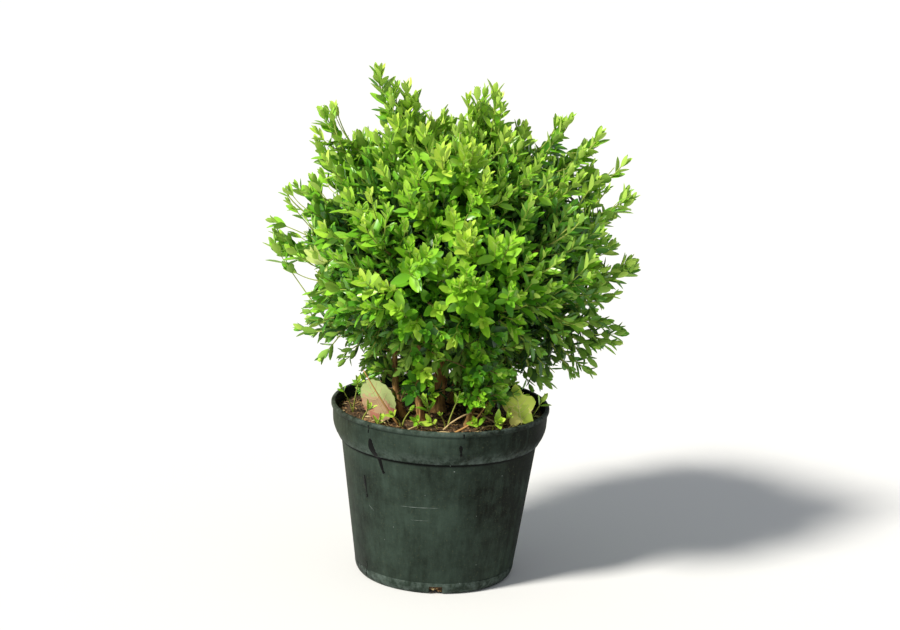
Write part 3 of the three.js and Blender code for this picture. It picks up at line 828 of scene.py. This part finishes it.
def limb(foot, tip, out, shape, count=160):
    rising = foot + up * shape["foot"][0] + out * shape["foot"][1]
    arriving = tip - up * shape["tip"][0] - out * shape["tip"][1]
    path = evenly(bezier(foot, rising, arriving, tip, 200), count)
    share = np.linspace(0, 1, count)
    thick, thin = shape["radii"]
    flare = 1 + shape["flare"] * np.exp(-share / stems["flareHeight"])
    return path, (thick + (thin - thick) * share) * flare


def heartAt(turn, place):
    return crown["centre"] + wayTo(turn, 0) * place[0] + up * place[1]


masses = []
fork = np.array(stems["fork"], float)
for side, turn, footTurn, footOut in sideMasses:
    foot = wayTo(footTurn, 0) * footOut + up * stems["soilLevel"]
    heart = heartAt(turn, crown["sideHeart"])
    path, radii = limb(foot, heart, wayTo(turn, 0), stems["side"])
    masses.append({"side": side, "node": "stem_" + side, "heart": heart, "path": path, "radii": radii})
for side, turn in topMasses:
    foot = fork + wayTo(turn, 0) * stems["forkSpacing"]
    heart = heartAt(turn, crown["topHeart"])
    path, radii = limb(foot, heart, wayTo(turn, 0), stems["bough"])
    masses.append({"side": side, "node": "bough_" + side, "heart": heart, "path": path, "radii": radii})
hearts = np.array([mass["heart"] for mass in masses])


def ownerOf(points):
    return np.argmin(np.linalg.norm(np.atleast_2d(points)[:, None] - hearts[None], axis=2), axis=1)


# growth: each mass's stem carries branches to the source's tips, and the branches carry finer shoots

growth = {
    "shoots": 800,
    "innerShoots": 330,
    "lowShoots": 240,
    "scatter": 0.27,  # how far inside the reach the outer shoots may end
    "dips": (0.13, 3.4),  # the crown's hollows: how deep, and how many round it
    "drawnIn": 0.26,  # under its front the crown draws in, which lets the sun down to the soil
    "drawnFrom": (1.4, 1.8),  # how fast that comes towards the front and downwards
    "unevenness": 0.35,  # of the outer shoots' places
    "tuftReach": (0.93, 1.0),
    "tuftShoots": 3,
    "tuftScatter": 0.45,  # of a tuft's width
    # single shoots which show against the sky: turn, rise, and how far past the reach they stand
    "single": [(0, 86, 9), (0, 83, 7), (14, 80, 3), (180, 48, 2), (180, 39, 0), (180, 36, 0), (180, -3, 2),
               (180, -11, 4), (180, -31, 0), (180, -43, 0), (0, 61, 2), (0, -2, 0), (0, -14, 0), (0, -24, 0),
               (0, -45, 0), (-12, -50, 0), (8, -54, 0), (-14, -57, 0), (-20, -45, -12), (10, -46, -14),
               (-6, -51, -9), (5, -37, -12), (-16, -53, -6), (3, -49, -2)],
    # the larger openings between the shoots, as the camera sees them: across, up, half as wide, half as high
    "openings": {
        "inside the left arch": (-145, 312, 9, 16),
        "between the left sprays": (-155, 367, 11, 7),
        "under the left shoulder": (-155, 392, 6, 6),
        "in the left shoulder": (-125, 402, 5, 6),
        "left of the spire": (-108, 480, 8, 16),
        "between the two tops": (-17, 495, 5, 11),
        "beside the second top": (4, 500, 5, 10),
        "right of the tops": (90, 480, 9, 7),
        "above the right shoulder": (130, 477, 9, 8),
        "in the right shoulder": (160, 445, 9, 8),
        "under the right shoulder": (167, 409, 7, 7),
        "in the right side": (182, 378, 8, 9),
        "low in the right side": (180, 293, 9, 10),
        "under the right side": (125, 218, 8, 6),
        "under the left side": (-109, 245, 7, 4),
    },
    "sprays": [  # long shoots which lean out of the crown: foot, bend and tip
        ((-116, -8, 262), (-151, -9, 306), (-178, -10, 347)),
        ((-110, -8, 450), (-119, -9, 466), (-123, -10, 489)),
        ((-118, -8, 345), (-150, -9, 362), (-177, -10, 371)),
    ],
    "innerReach": (0.5, 0.78),
    "rise": 0.85,  # how much the shoots turn up at their ends
    "riseLess": (0.9, 0.1, 0.75, 1.3),  # less under the crown
    "length": (55, 95),
    "lowestTips": (6, 8),  # branches and shoots end at least this far above the lowest leaves
    "branchFeet": (0.62, 0.38),  # up the stem: from, over
    "branchCurve": (0.3, 0.35),  # shares at foot and tip
    "shootCurve": (0.35, 0.4),
    "shootFeet": (4, 21, 2),  # points along a branch that may carry shoots
    "turnCost": 45,  # mm: how much off its length a shoot is sooner than turn back
    "shootSpread": 0.14,
    "sprayCurve": 0.8,
    "leafOverhang": 11,
    # low shoots: where along a stem, spread in degrees, how far out and up, and how low they end
    "low": {"from": (6, 110), "turn": 55, "out": (16, 42), "rise": (2, 26), "lowest": 184, "share": 0.6},
    "openFront": (-30, 206),  # in front of the first, low shoots end above the second
    "openLeft": -34,  # and there are none to the left of this
    "sprouts": [  # foot, and the tip with its height
        (-92, -8, -104, -24, 203), (-91, -10, -86, -32, 210), (-80, -52, -74, -60, 190),
        (-38, -56, -30, -68, 194), (-40, -58, -48, -72, 188), (-8, -52, -16, -64, 203),
        (6, -59, 0, -74, 192), (8, -60, 18, -66, 208), (-2, -64, -10, -80, 185),
        (42, -44, 50, -58, 197), (40, -60, 36, -76, 186), (64, -54, 70, -66, 190), (94, -28, 106, -36, 201),
        (-22, -62, -24, -80, 186), (54, -62, 60, -78, 187), (-64, -62, -60, -74, 186),
    ],
}


def endWay(way):
    under, least, over, most = growth["riseLess"]
    return unit(way + up * growth["rise"] * min(max(way[2] + under, least) / over, most))


def seenAt(points):  # where the camera sees them against the upright plane through the pot's middle
    rise = math.radians(view["elevation"])
    eye = np.array([0, -math.cos(rise), math.sin(rise)]) * view["distance"] / mm + up * view["aimHeight"] / mm
    share = -eye[1] / (points[..., 1:2] - eye[1])
    return (eye + (points - eye) * share)[..., [0, 2]]


def inOpening(points):
    seen = seenAt(points)[..., None, :]
    openings = np.array(list(growth["openings"].values()), float)
    return (((seen - openings[:, :2]) / openings[:, 2:]) ** 2).sum(axis=-1).min(axis=-1) < 1


def cutBack(path):  # a shoot that would end in an open place ends before it
    kept = len(path)
    isOpen = inOpening(path)
    while kept > len(path) // 3 and isOpen[kept - 1]:
        kept -= 1
    return evenly(path[:kept], len(path))


def underFront(ways):
    forward, down = growth["drawnFrom"]
    return np.clip(-ways[:, 1] * forward, 0, 1) * np.clip(-ways[:, 2] * down, 0, 1)


def growBranches():
    ways = [way for way, extra, width in tufts if extra > 0]
    shares = [1.0] * len(ways)
    spiralWays = spiral(crown["branches"])
    ways = np.concatenate([ways, spiralWays])
    shares = np.concatenate([shares, 1 - crown["tipScatter"] * rng.random(len(spiralWays))])
    shares = shares - growth["drawnIn"] * underFront(ways)
    tips = crown["centre"] + ways * (reach(ways) * shares - growth["leafOverhang"])[:, None]
    owners = ownerOf(tips)
    lowest = crown["lowest"] + growth["lowestTips"][0]
    firstFoot, feetOver = growth["branchFeet"]
    leaving, arriving = growth["branchCurve"]
    for index, mass in enumerate(masses):
        mass["branches"] = []
        own = [i for i in np.flatnonzero(owners == index) if tips[i][2] > lowest]
        own.sort(key=lambda i: tips[i][2])
        for order, i in enumerate(own):
            share = firstFoot + feetOver * order / max(len(own) - 1, 1)
            start = int(share * (len(mass["path"]) - 1))
            foot = mass["path"][start]
            along = unit(mass["path"][start] - mass["path"][start - 5])
            full = np.linalg.norm(tips[i] - foot)
            end = endWay(ways[i])
            path = bezier(foot, foot + along * full * leaving, tips[i] - end * full * arriving, tips[i], 40)
            path = cutBack(evenly(path, 26))
            mass["branches"].append({"path": path, "tip": tips[i], "way": ways[i], "outer": True})


def spreadShoots(count, near, far):
    ways = unit(spiral(count) + rng.normal(0, growth["unevenness"] / math.sqrt(count), (count, 3)))
    depth, across = growth["dips"]
    hollows = np.array([max(noise.noise(Vector(way * across)), 0) for way in ways])
    shares = near + (far - near) * rng.random(count) - depth * 2 * hollows
    shares = shares - growth["drawnIn"] * underFront(ways)
    return ways, shares


def tuftShoots():
    ways = []
    for way, extra, width in tufts:
        if extra > 0:
            scatter = width * growth["tuftScatter"]
            ways += [unit(way + rng.normal(0, scatter, 3)) for i in range(growth["tuftShoots"])]
    return np.array(ways), rng.uniform(*growth["tuftReach"], len(ways))


def singleShoots():
    ways = np.array([wayTo(turn, rise) for turn, rise, past in growth["single"]])
    return ways, 1 + np.array([past for turn, rise, past in growth["single"]]) / reach(ways)


def growShoots(ways, shares, outer):
    tips = crown["centre"] + ways * (reach(ways) * shares - growth["leafOverhang"])[:, None]
    owners = ownerOf(tips)
    leaving, arriving = growth["shootCurve"]
    for i in range(len(ways)):
        if tips[i][2] < crown["lowest"] + growth["lowestTips"][1]:
            continue
        mass = masses[owners[i]]
        wanted = rng.uniform(*growth["length"])
        best = None
        for branch in mass["branches"]:
            for step in range(*growth["shootFeet"]):
                spot = branch["path"][step]
                gap = tips[i] - spot
                distance = np.linalg.norm(gap)
                along = unit(branch["path"][step + 1] - branch["path"][step - 1])
                back = 1 - np.dot(gap, along) / distance
                cost = abs(distance - wanted) + growth["turnCost"] * back
                if best is None or cost < best[0]:
                    best = (cost, spot, along, distance)
        cost, foot, along, distance = best
        end = endWay(unit(ways[i] + rng.normal(0, growth["shootSpread"], 3)))
        rising, before = foot + along * distance * leaving, tips[i] - end * distance * arriving
        path = bezier(foot, rising, before, tips[i], 30)
        path = cutBack(evenly(path, 14))
        mass["shoots"].append({"path": path, "way": ways[i], "share": shares[i], "outer": outer})


def growSprays():
    share = growth["sprayCurve"]
    for foot, bend, tip in np.array(growth["sprays"], float):
        path = evenly(bezier(foot, foot + (bend - foot) * share, tip + (bend - tip) * share, tip, 30), 14)
        mass = masses[ownerOf(tip)[0]]
        mass["shoots"].append({"path": path, "way": unit(tip - foot), "share": 1.0, "outer": True})


# short, dark shoots on the stems, which hang over the soil but leave its front edge open
def growLowShoots():
    low = growth["low"]
    openBefore, openBelow = growth["openFront"]
    for i in range(growth["lowShoots"]):
        mass = masses[rng.integers(0, len(sideMasses))]
        start = rng.integers(*low["from"])
        foot = mass["path"][start]
        out = wayTo(math.degrees(math.atan2(foot[1], foot[0])) + rng.normal(0, low["turn"]), 0)
        tip = foot + out * rng.uniform(*low["out"]) + up * rng.uniform(*low["rise"])
        if tip[1] < openBefore and tip[0] < growth["openLeft"]:
            continue
        tip[2] = max(tip[2], low["lowest"] if tip[1] > openBefore else openBelow)
        path = bezier(foot, foot + up * 8, tip - out * 10, tip, 16)
        mass["low"].append({"path": evenly(path, 8), "way": out, "share": low["share"], "outer": False})


# young shoots from the stems' feet, which the sun on the front edge keeps light green
def growSprouts():
    for x, y, tipX, tipY, tipHeight in growth["sprouts"]:
        foot = np.array([x, y, stems["soilLevel"] - 1.0])
        tip = np.array([tipX, tipY, tipHeight], float)
        out = unit(tip - foot)
        path = bezier(foot, foot + up * 9, tip - out * 7, tip, 12)
        mass = masses[ownerOf(tip)[0]]
        mass["sprouts"].append({"path": evenly(path, 8), "way": out, "share": 0.97, "outer": False})


for mass in masses:
    mass["shoots"], mass["low"], mass["sprouts"] = [], [], []
growBranches()
growShoots(*spreadShoots(growth["shoots"], 1 - growth["scatter"], 1.0), True)
growShoots(*tuftShoots(), True)
growShoots(*singleShoots(), True)
growShoots(*spreadShoots(growth["innerShoots"], *growth["innerReach"]), False)
growSprays()
growLowShoots()
growSprouts()
print("shoots grown:", sum(len(mass["shoots"]) + len(mass["branches"]) for mass in masses))


# leaves of common box: opposite pairs along each shoot, each pair turned a quarter from the last

leafShape = {
    "length": 18.5,
    "width": 7.8,
    # half widths along the leaf, which ends in a blunt point
    "outline": [(0.0, 0.08), (0.2, 0.64), (0.46, 1.0), (0.74, 0.82), (0.94, 0.34), (1.0, 0.0)],
    "fold": 0.30,  # the halves rise from the midrib by this share of the half width
    "curl": (-0.04, 0.16),  # the tip bends back by this share of the length
    "thickness": 0.5,
    "tipSizes": (0.55, 0.8, 0.95),  # of the youngest pairs
    "tipSpreads": (12, 24, 34, 42, 48, 53, 56),
    "spacing": 11.5,
    "unevenness": 0.22,
    "sizes": (0.82, 1.25),  # from shoot to shoot
    "lowSizes": (0.7, 0.98),
    "sproutSizes": (0.5, 1.0),
    "smaller": (0.2, 300, 60),  # by how much, below which height, and over how many mm that comes
    # how many pairs a shoot has, the first number below the second
    "pairs": {"outer": (6, 10), "inner": (4, 7), "low": (5, 9), "sprout": (2, 5)},
    # tones count through the colours below, from 0, the lightest: for each kind of shoot and its spread
    "tones": {"outer": (1.45, 0.6), "inner": (5.8, 0.6), "low": (3.4, 0.8), "sprout": (1.1, 0.7)},
    "deeper": 8,  # darker by this for a full reach of depth: painted shade as well as older leaves
    # darker low down, painted shade as well as older leaves: by how much in all, from which place and over
    # how many mm
    "lower": (1.75, 300, 90),
    "sunnier": (0.34, 340, 110),  # times the one before
    "shadeSide": (0.9, 10, 110),  # the right side gets less sun
    "dullSide": (0.7, 50, 60),  # and the left side is darker
    "pairTone": (-1.1, 0.45, 0.25),  # of the youngest pair, darker with each pair, and the spread
    "uneven": {"turn": 0.12, "length": 0.08, "spacing": 0.08, "width": 0.06},
    "facing": 0.15,  # how much the leaves turn up to the light
    "paleShare": 0.014,
}
# upper sides from the youngest leaves to the oldest in the shade: living box leaf, waxy and smooth
leafTones = {
    "tip": "#C0DE52",
    "fresh": "#A3CF3F",
    "bright": "#8CC52F",
    "mid": "#6DAD27",
    "deep": "#4D8B22",
    "dark": "#2E5E1B",
    "shade": "#1F421E",
    "pale": "#C8D97C",
}
undersideTones = {"light": "#B4D75C", "middle": "#8DB849", "dull": "#5A7E3C"}  # paler, duller, no wax


def leafMaterials():
    made = []
    for name, colour in leafTones.items():
        surface = {"Base Color": linear(colour), "Roughness": 0.3, "IOR": 1.5}
        made.append(startMaterial("living box leaf, " + name, surface)[0])
    for name, colour in undersideTones.items():
        surface = {"Base Color": linear(colour), "Roughness": 0.6, "IOR": 1.4}
        made.append(startMaterial("living box leaf, underside " + name, surface)[0])
    return made


def leafTemplate():  # 1 long and 1 wide: an upper sheet and a lower one, each with a midrib and two halves
    outline = leafShape["outline"]
    points = []
    for sheet in (0, 1):
        for along, half in outline:
            points.append((0, along, 0, sheet))
            for hand in (-0.5, 0.5):
                points.append((hand * half, along, leafShape["fold"] * half / 2, 0))
    count = len(outline)
    triangles = []
    for sheet in (0, 1):
        for i in range(count - 1):
            for hand in (1, 2):
                a, b = 3 * (i + sheet * count), 3 * (i + 1 + sheet * count)
                quad = [a, b, b + hand, a + hand]
                if (hand == 1) == (sheet == 1):
                    quad = [a, a + hand, b + hand, b]
                triangles.append((quad[0], quad[1], quad[2], sheet))
                if i < count - 2:
                    triangles.append((quad[0], quad[2], quad[3], sheet))
                elif quad[1] == b:
                    triangles[-1] = (a, b, a + hand, sheet)
                else:
                    triangles[-1] = (a, a + hand, b, sheet)
    return np.array(points), np.array(triangles)


def leavesOf(shoot, sizes, tone, pairs):  # place, way, face, length and tone of each leaf, from the tip down
    path = shoot["path"]
    lengths = np.concatenate([[0], np.cumsum(np.linalg.norm(np.diff(path[::-1], axis=0), axis=1))])
    tangents = -unit(np.gradient(path[::-1], axis=0))
    distance = 0
    turn = rng.random() * math.pi
    side = unit(np.cross(tangents[0], [0.3, 1.0, 0.2]))
    isPale = rng.random() < leafShape["paleShare"]
    size = leafShape["length"] * rng.uniform(*sizes)
    uneven = leafShape["uneven"]
    spreads, youngest = leafShape["tipSpreads"], leafShape["tipSizes"]
    firstTone, toneStep, toneSpread = leafShape["pairTone"]
    for pair in range(pairs):
        if distance > lengths[-1] * 0.93:
            break
        spot = np.array([np.interp(distance, lengths, path[::-1][:, axis]) for axis in range(3)])
        stalk = unit([np.interp(distance, lengths, tangents[:, axis]) for axis in range(3)])
        side = unit(side - stalk * np.dot(side, stalk))
        other = np.cross(stalk, side)
        angle = turn + pair * math.pi / 2 + rng.normal(0, uneven["turn"])
        outward = side * math.cos(angle) + other * math.sin(angle)
        for hand in (1, -1):
            spread = math.radians(spreads[min(pair, len(spreads) - 1)])
            spread *= 1 + rng.normal(0, leafShape["unevenness"])
            along = stalk * math.cos(spread) + outward * hand * math.sin(spread)
            face = stalk * math.sin(spread) - outward * hand * math.cos(spread) + up * leafShape["facing"]
            face = unit(face - along * np.dot(face, along))
            growing = youngest[pair] if pair < len(youngest) else 1
            length = size * growing * (1 + rng.normal(0, uneven["length"]))
            shade = tone + firstTone + pair * toneStep + rng.normal(0, toneSpread)
            picked = int(np.clip(round(shade), 0, 6))
            yield spot, along, face, length, 7 if isPale and pair < 4 else picked
        step = leafShape["spacing"] * min(1, 0.4 + 0.2 * pair)
        distance += step * (1 + rng.normal(0, uneven["spacing"])) * sum(sizes) / 2


def leafRows(mass):  # tones run from light on the sunny tips to dark in the depth and low down, painted light and shade as well as the leaves' age
    rows = []
    tones, counts = leafShape["tones"], leafShape["pairs"]
    lower, lowerBelow, lowerOver = leafShape["lower"]
    sunnier, sunnyAbove, sunnyOver = leafShape["sunnier"]
    shadier, shadyFrom, shadyOver = leafShape["shadeSide"]
    duller, dullFrom, dullOver = leafShape["dullSide"]
    smaller, smallBelow, smallOver = leafShape["smaller"]
    for shoot in mass["shoots"] + mass["branches"]:
        across, height = shoot["path"][-1][0], shoot["path"][-1][2]
        low = np.clip((lowerBelow - height) / lowerOver, 0, 1)
        low = low - sunnier * np.clip((height - sunnyAbove) / sunnyOver, 0, 1)
        kind = "outer" if shoot["outer"] else "inner"
        tone, spread = tones[kind]
        if shoot["outer"]:
            tone = tone + leafShape["deeper"] * (1 - shoot["share"]) + lower * low
        tone += shadier * np.clip((across - shadyFrom) / shadyOver, 0, 1)
        tone += duller * np.clip((-across - dullFrom) / dullOver, 0, 1)
        pairs = rng.integers(*counts[kind])
        shrink = 1 - smaller * np.clip((smallBelow - height) / smallOver, 0, 1)
        sizes = [size * shrink for size in leafShape["sizes"]]
        rows += leavesOf(shoot, sizes, tone + rng.normal(0, spread), round(pairs / shrink))
    tone, spread = tones["low"]
    for shoot in mass["low"]:
        shade = tone + rng.normal(0, spread)
        rows += leavesOf(shoot, leafShape["lowSizes"], shade, rng.integers(*counts["low"]))
    tone, spread = tones["sprout"]
    for shoot in mass["sprouts"]:
        shade = tone + rng.normal(0, spread)
        rows += leavesOf(shoot, leafShape["sproutSizes"], shade, rng.integers(*counts["sprout"]))
    return rows


def makeLeaves(mass, materials):
    template, faces = leafTemplate()
    rows = leafRows(mass)
    spots, alongs, normals = (np.array([row[i] for row in rows]) for i in range(3))
    lengths = np.array([row[3] for row in rows])
    tones = np.array([row[4] for row in rows])
    across = np.cross(alongs, normals)
    uneven = rng.normal(0, leafShape["uneven"]["width"], len(rows))
    widths = lengths * leafShape["width"] / leafShape["length"] * (1 + uneven)
    x = template[None, :, 0] * widths[:, None]
    y = template[None, :, 1] * lengths[:, None]
    curls = rng.uniform(*leafShape["curl"], len(rows))
    z = template[None, :, 2] * widths[:, None] - template[None, :, 1] ** 2 * (curls * lengths)[:, None]
    z = z - template[None, :, 3] * leafShape["thickness"] * np.sin(template[None, :, 1] * math.pi)
    points = spots[:, None] + across[:, None] * x[..., None] + alongs[:, None] * y[..., None]
    points = points + normals[:, None] * z[..., None]
    stays = ~inOpening(points).any(axis=1)
    points, tones, rows = points[stays], tones[stays], [row for row, kept in zip(rows, stays) if kept]
    triangles = faces[None, :, :3] + (np.arange(len(rows)) * len(template))[:, None, None]
    underside = np.select([tones < 3, tones < 5], [8, 9], 10)
    underside = np.where(tones == 7, 8, underside)
    slots = np.where(faces[None, :, 3] == 0, tones[:, None], underside[:, None])
    name = "leaves_" + mass["side"]
    piece = meshPiece(name, points.reshape(-1, 3), triangles.reshape(-1, 3), materials, slots.ravel())
    seat(piece, "foliage", "foliage_" + mass["side"])
    return len(rows), len(triangles) * len(faces)


for mass in masses:
    for branch in mass["branches"]:
        branch["share"] = 1.0
leafKinds = leafMaterials()
made = [makeLeaves(mass, leafKinds) for mass in masses]
print("leaves:", sum(count for count, triangles in made))
print("leaf triangles:", [triangles for count, triangles in made])


# bark: pale, corky box wood on the stems and branches, and green skin on the young twigs

barkLook = {
    "light": "#C79C5F",
    "dark": "#75552F",
    "twig": "#8C7345",
    "young": "#A9B753",
    "fissure": 3.0,  # mm between fissures
    "fissureLength": 22.0,
    "fissureTones": (0.38, 0.62),  # where the dark ends and the light is full
    "bump": (0.6, 0.4),  # strength and mm
    "roughness": 0.88,
    "branchRadii": (2.0, 1.15, 0.6),  # at the foot, where the wood ends and at the tip
    "shootRadii": (0.95, 0.5),
    "greenOver": 0.62,  # shoots that reach further than this are green
}


def barkMaterial():
    look = {"Roughness": barkLook["roughness"], "IOR": 1.4}
    material, tree, shader = startMaterial("box bark, corky", look)
    place = addNode(tree, "TexCoord")
    squeeze = barkLook["fissure"] / barkLook["fissureLength"]
    upright = addNode(tree, "Mapping", {"Vector": place.outputs["Object"], "Scale": (1, 1, squeeze)})
    fissures = addNode(tree, "TexNoise", {"Vector": upright.outputs["Vector"], "Detail": 4.0,
                                          "Roughness": 0.6, "Scale": 1 / (barkLook["fissure"] * mm)})
    ramp = addNode(tree, "ValToRGB", {"Fac": fissures.outputs["Fac"]})
    for element, position, tone in zip(ramp.color_ramp.elements, barkLook["fissureTones"], ("dark", "light")):
        element.position = position
        element.color = linear(barkLook[tone])
    strength, depth = barkLook["bump"]
    bump = addNode(tree, "Bump", {"Height": fissures.outputs["Fac"], "Strength": strength,
                                  "Distance": depth * mm})
    tree.links.new(ramp.outputs["Color"], shader.inputs["Base Color"])
    tree.links.new(bump.outputs["Normal"], shader.inputs["Normal"])
    return material


def barkRelief(spot, angle):
    far = Vector(spot) * 0.16
    ridge = noise.noise(Vector((math.cos(angle) * 2.2, math.sin(angle) * 2.2, spot[2] * 0.05)))
    return 0.45 * ridge + 0.35 * noise.noise(far * 2)


def makeLimbs(bark):
    middleFoot = np.array([*stems["middleFoot"], stems["soilLevel"]])
    path, radii = limb(middleFoot, fork, up * 0, stems["middle"], 60)
    points, triangles = tube(path, radii, 18, barkRelief)
    seat(meshPiece("bark_middle", points, triangles, [bark]), "bark", "stem_middle")
    for mass in masses:
        points, triangles = tube(mass["path"], mass["radii"], 14, barkRelief)
        seat(meshPiece("bark_" + mass["side"], points, triangles, [bark]), "bark", mass["node"])


def makeTwigs():
    woodLook = {"Base Color": linear(barkLook["twig"]), "Roughness": 0.8}
    wood = startMaterial("box twig, second year", woodLook)[0]
    young = startMaterial("box twig, green", {"Base Color": linear(barkLook["young"]), "Roughness": 0.5})[0]
    thick, middle, thin = barkLook["branchRadii"]
    for mass in masses:
        parts, slots = [], []
        for branch in mass["branches"]:
            woody = len(branch["path"]) * 3 // 5
            green = len(branch["path"]) - woody
            parts.append(tube(branch["path"][:woody + 1], np.linspace(thick, middle, woody + 1), 6))
            parts.append(tube(branch["path"][woody:], np.linspace(middle, thin, green), 5))
            slots += [np.full(len(parts[-2][1]), 0), np.full(len(parts[-1][1]), 1)]
        for shoot in mass["shoots"] + mass["low"] + mass["sprouts"]:
            parts.append(tube(shoot["path"], np.linspace(*barkLook["shootRadii"], len(shoot["path"])), 4))
            slots.append(np.full(len(parts[-1][1]), 1 if shoot["share"] > barkLook["greenOver"] else 0))
        points, triangles = joined(parts)
        piece = meshPiece("twigs_" + mass["side"], points, triangles, [wood, young], np.concatenate(slots))
        seat(piece, "bark", "foliage_" + mass["side"])


barkKind = barkMaterial()
makeLimbs(barkKind)
makeTwigs()
print("stems, boughs and twigs made")
